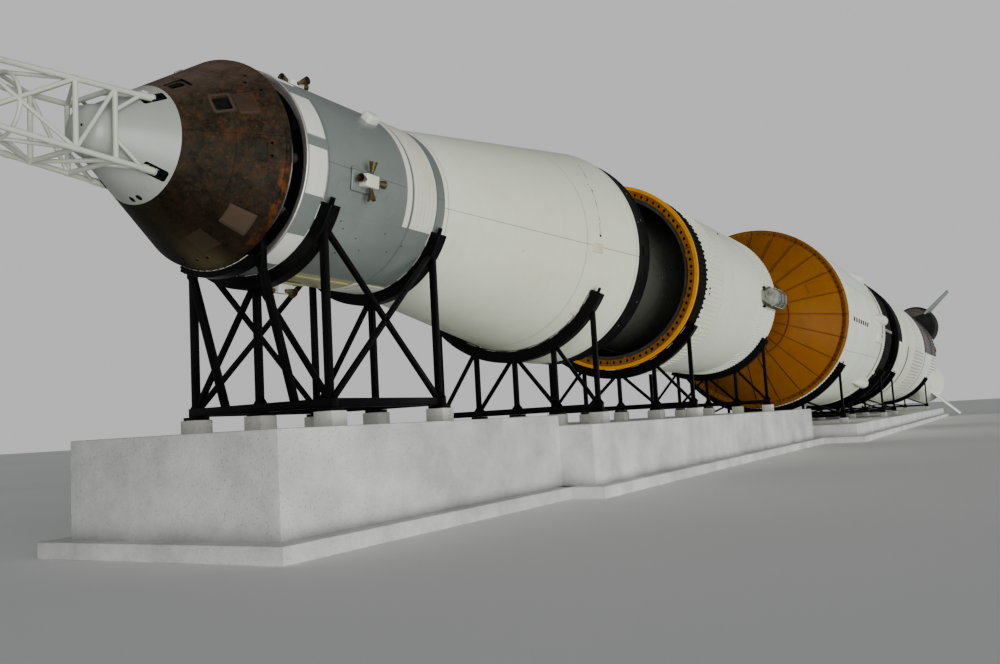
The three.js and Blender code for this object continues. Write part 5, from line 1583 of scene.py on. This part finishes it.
    def thrust_cone(self):
        front = ends("third_thrust_cone")[0]
        cone_end, rim = 2.801, 0.088
        form = Form("dome", "silver", "pump")
        form.turned([(front, 0), (front, 0.316), (front + 0.03, 0.305), (front + 0.06, 0.290),
                     (front + 0.09, 0.267), (front + 0.12, 0.240), (cone_end - 0.030, rim), (cone_end, rim),
                     (cone_end, 0)], "dome", 128)
        for angle in circle_of(16):
            points = [Matrix.Rotation(math.radians(angle), 4, "X") @ Vector((x, 0, r))
                      for x, r in ((front + 0.125, 0.238), (cone_end - 0.035, 0.092))]
            form.pipe(points, 0.0035, "dome", 6, AXIS)
        bottle = [(0.034 * math.sin(t), 0.034 * math.cos(t)) for t in evenly(-math.pi / 2, math.pi / 2, 12)]
        bottle[0], bottle[-1] = (-0.034, 0), (0.034, 0)
        for angle in (20, 80, 140, 200, 260, 320):
            form.turned(bottle, "silver", 24, place=on_hull(front + 0.10, angle, 0.262))
        hold_gimbal(form, "small", cone_end, 90, 0.0)
        form.done("third_thrust_frame", stands_for=["third_thrust_cone"], slot="primer")

    def pod(self, number, angle):
        """An eight-sided pod with its ends cut to slopes, two lobes behind it and fittings at its foot."""
        first, last, _ = ends(f"third_pod_{number}")
        long = last - first
        form = Form("foil", "silver", "dark", "green")
        bm = form.bm
        place = on_hull(first, angle, THIRD_RADIUS + GAP)
        side = [(0.033, 0), (0.046, 0.019), (0.039, 0.043), (0.018, 0.060)]
        section = side + [(-y, z) for y, z in reversed(side)]
        along = Matrix(((0, 0, 1, 0), (1, 0, 0, 0), (0, 1, 0, 0), (0, 0, 0, 1)))
        form.plate(section, long, place @ along, "foil", 0.0012)
        for spot, slope in (((0, 0, 0.009), (-0.051, 0, 0.070)), ((long, 0, 0.018), (0.042, 0, 0.030)),
                            ((0, 0.020, 0), (-0.026, 0.045, 0)), ((0, -0.020, 0), (-0.026, -0.045, 0))):
            made = bmesh.ops.bisect_plane(
                bm, geom=bm.verts[:] + bm.edges[:] + bm.faces[:], dist=1e-6, clear_outer=True,
                plane_co=place @ Vector(spot), plane_no=place.to_3x3() @ Vector(slope),
            )
            cut = [part for part in made["geom_cut"] if isinstance(part, bmesh.types.BMEdge)]
            bmesh.ops.edgeloop_fill(bm, edges=cut)
        bmesh.ops.recalc_face_normals(bm, faces=bm.faces[:])
        form.dress("foil", outward=False)
        for turn in (-1, 1):
            lobe = place @ Matrix.Translation((long - 0.034, turn * 0.018, 0.030))
            form.turned([(0, 0), (0, 0.0165), (0.016, 0.0155), (0.026, 0.0105), (0.031, 0)], "silver", 28,
                        place=lobe)
            edge = [(x, turn * 0.0400, 0.0405) for x in (0.072, long - 0.040)]
            form.pipe(edge, 0.0016, "green", 8, place)
            fitting = place @ Matrix.Translation((0.036, turn * 0.042, 0.004))
            form.block((0.020, 0.010, 0.008), fitting, "dark", 0.002)
            mouth = place @ Matrix.Translation((0.120, turn * 0.036, 0.034))
            form.turned([(0, 0), (0, 0.006), (0.008, 0.009), (0.008, 0.0075), (0.002, 0.004), (0.002, 0)],
                        "dark", 24, place=mouth @ Matrix.Rotation(turn * math.pi / 2, 4, "Z"))
        for share in (0.42, 0.70):
            hoop = [(long * share, y * 1.004, z * 1.004 + 0.0002) for y, z in reversed(section)]
            form.pipe(hoop, 0.0009, "dark", 6, place)
        form.done(f"third_pod_shell_{number}", stands_for=[f"third_pod_{number}"], slot="silver")


def hold_gimbal(form, kind, face, corner, circle):
    """The two ears on a stage's rear face that hold a gimbal block's pins."""
    block, ear = ENGINES[kind][9:11]
    near = block / 2 + 0.001
    reach = block / 2 + ear + GAP + ear * 0.5
    for side in (1, -1):
        lift = side * (near + ear / 2) + circle
        form.block((reach + 0.001, 2 * ear, ear), on_hull(face + (reach - 0.001) / 2, corner, lift), "pump",
                   ear * 0.18)


# The wide stages

SECOND_FRONT, SECOND_AFT, FIRST_AFT = 3.555, 5.483, 9.550
# The count and width of a wide stage's fine ribs and of the first stage's broad ones.
FINE_RIBS, WIDE_RIBS = (180, 0.0075), (104, 0.0180)
# The angles outside the first stage's dark patch, which is partly dark paint and partly painted shadow.
BARE_SPAN = (87.0, 354.0)


def base_plate(form, face, radius, paint):
    """What shows on a wide stage's rear face: rings and radial beams."""
    for ring in (0.42, 0.64, 0.97):
        form.turned([(face - 0.001, radius * ring - 0.006), (face + 0.005, radius * ring - 0.006),
                     (face + 0.005, radius * ring), (face - 0.001, radius * ring)], paint, 96)
    for angle in circle_of(8, 22.5):
        form.block((0.006, 0.008, radius * 0.80), on_hull(face + 0.002, angle, radius * 0.55), paint, 0.001)


def drum(form, front, aft, paint):
    """A wide closed drum with softened edges."""
    form.turned([(front, 0), (front, WIDE_RADIUS - 0.001), (front + 0.001, WIDE_RADIUS),
                 (aft - 0.001, WIDE_RADIUS), (aft, WIDE_RADIUS - 0.001), (aft, 0)], paint, 224)


class ROCKET_OT_second(bpy.types.Operator):
    """Turns the second stage: the ribbed orange cover, the barrel with its pods, and the base"""

    bl_idname = "rocket.second_stage"
    bl_label = "Second stage"

    def execute(self, context):
        rib = context.scene.rocket_sizes.rib
        self.cover()
        self.barrel(rib)
        front, radius = ends("second_base")[0], WIDE_RADIUS
        form = Form("black", "pump", "inside")
        drum(form, front, SECOND_AFT, "black")
        form.ribs(front + 0.012, SECOND_AFT - 0.014, radius, "black", *FINE_RIBS, rib)
        for angle in (-2, 182):
            form.block((0.34, 0.020, 0.010), on_hull(front + 0.176, angle, radius + 0.002), "pump", 0.003, 3)
        base_plate(form, SECOND_AFT, radius, "inside")
        for corner in CORNERS:
            hold_gimbal(form, "small", SECOND_AFT, corner, ENGINES["small"][8])
        form.done("second_base_skin", stands_for=["second_base"], slot="black_paint")
        return {"FINISHED"}

    def cover(self):
        aft, radius = ends("second_front_cover")[1:]
        front = SECOND_FRONT
        form = Form("orange", "dark")
        line = [(-0.006, 0.494), (0, 0.472), (-0.012, 0.455), (-0.110, 0.340), (-0.190, 0.232),
                (-0.224, 0.120), (-0.232, 0)]
        form.turned([(aft, 0), (aft, radius - 0.0005), (front + 0.002, radius), (front, radius - 0.002)]
                    + [(front + s, r) for s, r in line], "orange", 192)
        ribs = [(front + s, r) for s, r in ((-0.016, 0.450), (-0.110, 0.340), (-0.190, 0.232),
                                            (-0.216, 0.145))]
        ribs = [(s + 0.008, r) for s, r in ribs] + [(s - 0.0036, r + 0.0018) for s, r in reversed(ribs)]
        for angle in circle_of(24, -2.2):
            form.blade(ribs, 0.0044, angle, "orange", 0.0006)
        form.blocks([on_hull(front - 0.0024, a, 0.4815, math.radians(75)) for a in circle_of(96)],
                    (0.0045, 0.0070, 0.0020), "dark")
        form.bolt_ring(front + 0.006, radius, 120, 1.0, (0.0016, 0.0010), "orange")
        s, r = front - 0.190, 0.234
        form.turned([(s - 0.004, r - 0.003), (s - 0.004, r + 0.002), (s + 0.004, r + 0.004),
                     (s + 0.004, r - 0.003)], "orange", 144)
        panel = on_hull(front - 0.0805, 20.5, 0.3745, math.pi / 2 - math.atan2(0.098, 0.115))
        form.block((0.085, 0.055, 0.0050), panel, "orange", 0.0018)
        form.block((0.070, 0.040, 0.0064), panel, "orange", 0.0015)
        form.bolts([panel @ Matrix.Translation((x, y, 0.0024)) for x in evenly(-0.038, 0.038, 4)
                    for y in (-0.024, 0.024)], 0.0014, 0.001, "orange")
        form.turned([(front - 0.236, 0), (front - 0.236, 0.060), (front - 0.220, 0.064),
                     (front - 0.215, 0)], "orange", 64)
        form.face_ring(front - 0.2358, 0.050, 18, -1, (0.002, 0.0014), "orange")
        form.done("second_cover_panels", stands_for=["second_front_cover"], slot="orange_paint", sharp=20)

    def barrel(self, rib):
        front, aft, _ = ends("second_barrel")
        radius = WIDE_RADIUS
        form = Form("second", "dark", "corn", "panel")
        drum(form, front, aft, "second")
        form.ribs(front + 0.004, front + 0.070, radius, "second", *FINE_RIBS, rib)
        form.band(front + 0.072, front + 0.0745, radius, 0.0012, "second")
        strip, first_door, door_pitch = 4.985, 3.77, 0.086
        form.ribs(strip + 0.012, aft - 0.004, radius, "second", *FINE_RIBS, rib)
        for low in (-42, 150):
            form.band(strip, strip + 0.010, radius, 0.0022, "dark", 48, (low, low + 72))
            form.band(strip + 0.014, strip + 0.100, radius, 0.0010, "corn", 48, (low, low + 72))
        form.blocks([on_hull(first_door + door_pitch * number, -4.2, radius) for number in range(7)],
                    (0.026, 0.024, 0.003), "dark")
        pod_start = 4.545
        pod = [(0, 0), (0.02, 0.0022), (0.06, 0.0062), (0.12, 0.0120), (0.20, 0.0190), (0.30, 0.0280),
               (0.36, 0.0325), (0.43, 0.0360), (0.48, 0.0362), (0.51, 0.0350), (0.535, 0.0300),
               (0.552, 0.0240), (0.564, 0.0120), (0.568, 0)]
        for angle in (41, 4.5, -47.5, 139, 175.5, 227.5):
            place = on_hull(pod_start, angle, radius)
            form.turned(pod, "second", 40, place=place)
            for x, r in ((0.300, 0.0284), (0.470, 0.0366)):
                form.turned([(x - 0.002, r - 0.002), (x - 0.002, r), (x + 0.002, r), (x + 0.002, r - 0.002)],
                            "corn", 40, place=place)
        for angle in (-10.3, 190.3):
            place = on_hull(4.785, angle, radius + 0.005)
            form.block((0.25, 0.062, 0.014), place, "panel", 0.004, 3)
            form.block((0.030, 0.018, 0.016), place @ Matrix.Translation((0.09, 0.016, 0)), "dark", 0.001)
        form.blocks([on_hull(strip + 0.108, a, radius) for a in (-37, 217)], (0.016, 0.020, 0.010), "panel")
        for angle in (95, 264):
            form.tunnel(3.870, 4.970, 0.052, 0.025, angle, radius, "second")
        form.done("second_barrel_skin", stands_for=["second_barrel"], slot="white_paint")


FAIRING_FRONT, FAIRING_AFT = 8.980, 9.800
FAIRING_RADII, FAIRING_MIDDLES = (0.060, 0.232), (0.462, 0.440)
FIN_OUTLINE = ((9.460, 0.600), (9.655, 0.960), (9.800, 0.960), (9.800, 0.640))
# A fairing's paints: its half nearer the floor, its other half, its aft rim and its fin.
FAIRING_PAINTS = (("black", "bronze", "inside", "service"), ("black", "bronze", "inside", "service"),
                  ("fin", "fin", "fin", "fin"), ("fin", "fin", "fin", "fin"))


def fairing_point(station, share):
    """A point of the half cone at a station. The share runs from one foot, 0, to the other, 1."""
    part = (station - FAIRING_FRONT) / (FAIRING_AFT - FAIRING_FRONT)
    radius = FAIRING_RADII[0] + (FAIRING_RADII[1] - FAIRING_RADII[0]) * part
    middle = FAIRING_MIDDLES[0] + (FAIRING_MIDDLES[1] - FAIRING_MIDDLES[0]) * part
    hull = WIDE_RADIUS + GAP
    foot = math.acos(max(-1.0, min(1.0, (hull ** 2 - middle ** 2 - radius ** 2) / (2 * middle * radius))))
    turn = foot * (2 * share - 1)
    return Vector((station, radius * math.sin(turn), middle + radius * math.cos(turn)))


class ROCKET_OT_first(bpy.types.Operator):
    """Turns the first stage: the barrel, the thrust section, and the fairings with their fins"""

    bl_idname = "rocket.first_stage"
    bl_label = "First stage"

    def execute(self, context):
        rib = context.scene.rocket_sizes.rib
        radius = WIDE_RADIUS
        front, aft, _ = ends("first_barrel")
        inner = radius - 0.012
        bulkhead, bulge = 6.286, 0.180
        black_end, upper_black_end = front + 0.06, 6.21
        form = Form("first", "inside", "black", "dome", "groove")
        form.turned([(front, inner), (front, radius - 0.001), (front + 0.0015, radius)], "black", 224,
                    closed=False)
        form.turned([(front + 0.0015, radius), (aft - 0.001, radius), (aft, radius - 0.001), (aft, 0)],
                    "first", 224, closed=False)
        dome = [(bulkhead - bulge * math.cos(t), inner * math.sin(t)) for t in evenly(math.pi / 2, 0.08, 13)]
        form.turned([(front, inner), dome[0]], "inside", 128, closed=False)
        form.turned(dome + [(bulkhead - bulge, 0)], "dome", 128, closed=False)
        for station in evenly(front + 0.02, bulkhead - 0.10, 5):
            form.band(station - 0.003, station + 0.003, inner - 0.012, 0.012, "inside", 128)
        form.band(front + 0.0015, black_end, radius, 0.0005, "black", 224)
        form.band(black_end, upper_black_end, radius, 0.0005, "black", 120, (-5.7, 185.7))
        form.ribs(front + 0.012, front + 0.055, radius, "black", 216, 0.0070, rib)
        # Painted shade in the grooves between the broad ribs.
        for first, last in ((7.20, 8.10), (8.20, 8.34)):
            form.band(first, last, radius, 0.0004, "groove", 160, BARE_SPAN)
            form.ribs(first, last, radius, "first", *WIDE_RIBS, 2 * rib)
        for station in (6.35, 7.18, 8.12, 8.36, 8.80):
            form.band(station - 0.0025, station + 0.0025, radius, 0.0014, "first")
        for angle in (88, 268):
            form.tunnel(6.370, 8.820, 0.060, 0.027, angle, radius, "first")
        form.done("first_barrel_skin", stands_for=["first_barrel"], slot="white_paint")

        front = ends("first_base")[0]
        form = Form("first", "pump", "inside", "orange", "groove")
        drum(form, front, FIRST_AFT, "first")
        # Painted shade in the grooves between the broad ribs.
        form.band(front + 0.010, FIRST_AFT - 0.004, radius, 0.0004, "groove", 160, BARE_SPAN)
        form.ribs(front + 0.010, FIRST_AFT - 0.004, radius, "first", *WIDE_RIBS, 2 * rib)
        spots = [on_hull(FIRST_AFT - 0.020, angle, radius) for angle in (3, 177)]
        form.blocks(spots, (0.034, 0.050, 0.010), "orange")
        base_plate(form, FIRST_AFT, radius, "inside")
        for corner in CORNERS:
            hold_gimbal(form, "first", FIRST_AFT, corner, ENGINES["first"][8])
        form.done("first_base_skin", stands_for=["first_base"], slot="white_paint")
        for number, corner in enumerate(CORNERS, 1):
            self.fairing(number, corner, FAIRING_PAINTS[number - 1])
        return {"FINISHED"}

    def fairing(self, number, corner, paints):
        """A bent sheet for the half cone, closed in front, with its rim, ridges and fin."""
        place = on_hull(0, corner, 0)
        lower, upper, rim, fin = paints
        form = Form(*dict.fromkeys(paints))
        bm = form.bm
        long = FAIRING_AFT - FAIRING_FRONT
        made = bmesh.ops.create_grid(bm, x_segments=40, y_segments=24, size=0.5)
        for spot in made["verts"]:
            share, part = spot.co.x + 0.5, spot.co.y + 0.5
            spot.co = place @ fairing_point(FAIRING_FRONT + long * part, share)
        form.dress(lower)
        skin = bm.faces[:]
        middle = place @ Vector((FAIRING_AFT, 0, FAIRING_MIDDLES[1]))
        if sum(face.normal.dot(face.calc_center_median() - middle) for face in skin) < 0:
            bmesh.ops.reverse_faces(bm, faces=skin)
        bmesh.ops.solidify(bm, geom=skin, thickness=0.008)
        form.dress(lower, outward=False)
        cap = [place @ (fairing_point(FAIRING_FRONT, i / 16) + Vector((0.0004, 0, 0))) for i in range(17)]
        bm.faces.new([bm.verts.new(spot) for spot in cap])
        form.dress(lower)
        rim_start = (place @ Vector((FAIRING_FRONT + 0.84 * long, 0, 0))).x
        across = place.to_3x3() @ Vector((0, 1, 0))
        across *= math.copysign(1, across.z)
        for face in bm.faces:
            centre = face.calc_center_median()
            side = upper if (centre - place.translation).dot(across) > 0 else lower
            face.material_index = form.paints.index(rim if centre.x > rim_start else side)
        for share in (0.2, 0.8):
            ridge = [fairing_point(FAIRING_FRONT + long * part, share) for part in (0.03, 0.82)]
            form.pipe(ridge, 0.004, lower if place.to_3x3().col[1].z * (0.5 - share) > 0 else upper, 6, place)
        for part in (0.842, *evenly(0.868, 0.982, 4)):
            points = [fairing_point(FAIRING_FRONT + long * part, i / 24) for i in range(25)]
            form.pipe(points, 0.004, rim, 6, place)
        form.blade(FIN_OUTLINE, 0.020, corner, fin, 0.004)
        form.done(f"fairing_and_fin_{number}", stands_for=[f"first_fairing_{number}"], slot="white_paint")


# The cradles and the plinth


# A cradle's frame: saddle's depth and half span, post offset, base beam's height, and posts.
NARROW_FRAME = (0.026, 66, 0.170, -0.451, 3)
MIDDLE_FRAME = (0.032, 56, 0.272, -0.475, 5)
WIDE_FRAME = (0.038, 57, 0.418, -0.565, 5)
CRADLES = (
    ("cradle_capsule", -0.393, CABIN_RADIUS, *NARROW_FRAME),
    ("cradle_capsule", -0.026, CABIN_RADIUS, *NARROW_FRAME),
    ("cradle_adapter", 0.650, adapter_hull(0.664), 0.032, 60, 0.254, -0.475, 5),
    ("cradle_third_front", 1.450, THIRD_RADIUS + 0.006, *MIDDLE_FRAME),
    ("cradle_third_rear", 2.540, THIRD_RADIUS, *MIDDLE_FRAME),
    ("cradle_second_front", 3.640, WIDE_RADIUS, *WIDE_FRAME),
    ("cradle_second_rear", 5.330, WIDE_RADIUS, *WIDE_FRAME),
    ("cradle_first_front", 6.010, WIDE_RADIUS, *WIDE_FRAME),
    ("cradle_first_rear", 8.880, WIDE_RADIUS, *WIDE_FRAME),
)


def square_bar(form, start, end, side):
    """A square tube between two points in the rocket's frame."""
    start, end = AXIS @ Vector(start), AXIS @ Vector(end)
    along = (end - start).normalized()
    guide = Vector((0, 0, 1)) if abs(along.x) > 0.1 else Vector((1, 0, 0))
    third = along.cross(guide).normalized()
    turn = Matrix((third.cross(along), third, along)).transposed().to_4x4()
    place = Matrix.Translation((start + end) / 2) @ turn
    form.block((side, side, (end - start).length), place, "steel", 0.0009)


def saddle(form, station, hull, deep, span, wide):
    """A curved box beam under a hull with pads on it, and a bolted tab beyond each end."""
    inside = hull + 0.0006
    half, edge = wide / 2, 0.0012
    form.turned(
        [(station - half + edge, inside), (station + half - edge, inside), (station + half, inside + edge),
         (station + half, inside + deep - edge), (station + half - edge, inside + deep),
         (station - half + edge, inside + deep), (station - half, inside + deep - edge),
         (station - half, inside + edge)],
        "steel", 72, span=(-90 - span, -90 + span),
    )
    reach = math.degrees(0.006 / inside)
    for side in (-1, 1):
        tab = on_hull(station, -90 + side * (span + reach), inside + deep * 0.5)
        form.block((0.012, 0.014, 0.005), tab, "steel", 0.0015)
        form.bolts([tab @ Matrix.Translation((0, 0, 0.0025))], 0.0030, 0.0014, "steel", 12)
        spots = [on_hull(station + x, -90 + side * (span - 1.6), inside + deep)
                 for x in (-half * 0.55, half * 0.55)]
        form.bolts(spots, 0.0018, 0.0014, "steel")
    form.blocks([on_hull(station, -90 + a, hull + 0.0001) for a in evenly(-span + 6, span - 6, 8)],
                (wide + 0.003, 0.030, 0.0005), "pad")


def post_top(hull, deep, y):
    return -math.sqrt((hull + deep / 2) ** 2 - y ** 2)


class ROCKET_OT_cradles(bpy.types.Operator):
    """Welds the cradles from square tube, with curved saddles, braces and gussets"""

    bl_idname = "rocket.cradles"
    bl_label = "Cradles"

    def execute(self, context):
        sizes = context.scene.rocket_sizes
        lap = 0.004
        forms = {}
        for node, station, hull, deep, span, offset, base, posts in CRADLES:
            form = forms.setdefault(node, Form("steel", "pad"))
            saddle(form, station, hull, deep, span, sizes.saddle)
            reach = offset + sizes.post
            square_bar(form, (station, -reach, base), (station, reach, base), sizes.beam)
            places = evenly(-offset, offset, posts - 1)
            for number, y in enumerate(places):
                top = post_top(hull, deep, y)
                square_bar(form, (station, y, base), (station, y, top), sizes.post)
                for way in ((-1, 1) if abs(y) < 1e-6 else (int(math.copysign(1, y)),)):
                    if 0 <= number + way < posts:
                        low = (station, places[number + way], base + lap)
                        square_bar(form, (station, y, top + lap), low, sizes.brace)
                for side in (-1, 1):
                    foot = (station, y + side * sizes.post / 2, base + sizes.beam / 2)
                    lay = Matrix(((0, 0, 1, 0), (side, 0, 0, 0), (0, 1, 0, 0), (0, 0, 0, 1)))
                    form.plate([(0, 0), (0.011, 0), (0, 0.014)], 0.002,
                               AXIS @ Matrix.Translation(foot) @ lay, "steel")
        self.capsule_frame(forms["cradle_capsule"], sizes)
        for node, form in forms.items():
            form.done(node + "_frame", stands_for=[node], slot="black_steel")
        return {"FINISHED"}

    def capsule_frame(self, form, sizes):
        """Joins the first two frames, with raking struts up to a short shelf behind the cabin."""
        _, front, hull, deep, _, offset, base, _ = CRADLES[0]
        rear = CRADLES[1][1]
        shelf, shelf_hull, shelf_deep, shelf_span = -0.484, 0.196, 0.012, 26
        knee, knee_off, knee_height, knee_bar = -0.471, 0.088, -0.195, 0.015
        saddle(form, shelf, shelf_hull, shelf_deep, shelf_span, sizes.saddle)
        top = post_top(hull, deep, offset)
        for side in (-1, 1):
            y, off = side * offset, side * knee_off
            square_bar(form, (front, y, base), (rear, y, base), sizes.beam)
            square_bar(form, (front, y, top), (rear, y, base), sizes.brace)
            square_bar(form, (front, y, base), (rear, y, top), sizes.brace)
            square_bar(form, (front, off, base), (knee, off, knee_height), sizes.post)
            square_bar(form, (knee, off, knee_height - 0.004), (knee, off, -0.127), knee_bar)
        square_bar(form, (knee, 0, -0.202), (knee, 0, -0.175), knee_bar)


class ROCKET_OT_plinth(bpy.types.Operator):
    """Pours the stepped plinth, with a block and a dark pad under each post"""

    bl_idname = "rocket.plinth"
    bl_label = "Plinth"

    def execute(self, context):
        form = Form("concrete", "steel", "pad")
        # First and last station, half width and height of each bed.
        beds = ((-0.620, 0.400, 0.250, 0.206), (0.400, 3.1697, 0.340, 0.180), (3.250, 9.300, 0.540, 0.092))
        margin, thick, pad = 0.040, 0.030, 0.006
        for first, last, half, top in beds:
            middle, long = (first + last) / 2 + ZERO, last - first
            for grow, tall in ((margin, thick), (0, top)):
                form.block((long + 2 * grow, 2 * (half + grow), tall),
                           Matrix.Translation((middle, 0, tall / 2)), "concrete", 0.003)
        for _, station, _, _, _, offset, base, posts in CRADLES:
            bed = next(top for _, last, _, top in beds if station < last)
            foot = AXIS_HEIGHT + base - context.scene.rocket_sizes.beam / 2 - GAP
            tall = foot - pad - bed + 0.002
            for y in evenly(-offset, offset, posts - 1):
                block = Matrix.Translation((station + ZERO, y, foot - pad - tall / 2))
                form.block((0.044, 0.044, tall), block, "pad", 0.002)
                rest = Matrix.Translation((station + ZERO, y, foot - pad / 2))
                form.block((0.036, 0.036, pad), rest, "steel", 0.001)
        form.done("plinth_with_blocks", stands_for=["slab_front", "slab"], slot="concrete")
        return {"FINISHED"}


OPERATORS = (
    ROCKET_OT_stage, ROCKET_OT_tower, ROCKET_OT_motor, ROCKET_OT_cover, ROCKET_OT_cabin, ROCKET_OT_service,
    ROCKET_OT_adapter, ROCKET_OT_third, ROCKET_OT_second, ROCKET_OT_first, ROCKET_OT_engines,
    ROCKET_OT_cradles, ROCKET_OT_plinth,
)


class ROCKET_PT_panel(bpy.types.Panel):
    """Lists the rocket's pieces, colours and sizes"""

    bl_label = "Rocket"
    bl_space_type = "VIEW_3D"
    bl_region_type = "UI"
    bl_category = "Rocket"

    def draw(self, context):
        for operator in OPERATORS:
            self.layout.operator(operator.bl_idname)
        for group in (context.scene.rocket_colours, context.scene.rocket_sizes, context.scene.rocket_stage):
            for key in group.bl_rna.properties.keys():
                if key not in ("rna_type", "name"):
                    self.layout.prop(group, key)


GROUPS = {"rocket_colours": RocketColours, "rocket_sizes": RocketSizes, "rocket_stage": RocketStage}


def register():
    for group in (*GROUPS.values(), *OPERATORS, ROCKET_PT_panel):
        bpy.utils.register_class(group)
    for key, group in GROUPS.items():
        setattr(bpy.types.Scene, key, bpy.props.PointerProperty(type=group))


def unregister():
    for key in GROUPS:
        delattr(bpy.types.Scene, key)
    for group in reversed((*GROUPS.values(), *OPERATORS, ROCKET_PT_panel)):
        bpy.utils.unregister_class(group)


def main():
    """Makes every piece in order."""
    register()
    make_effects()
    PAINTS.update(make_materials(bpy.context.scene.rocket_colours))
    for operator in OPERATORS:
        group, name = operator.bl_idname.split(".")
        getattr(getattr(bpy.ops, group), name)()


if __name__ == "__main__":
    main()
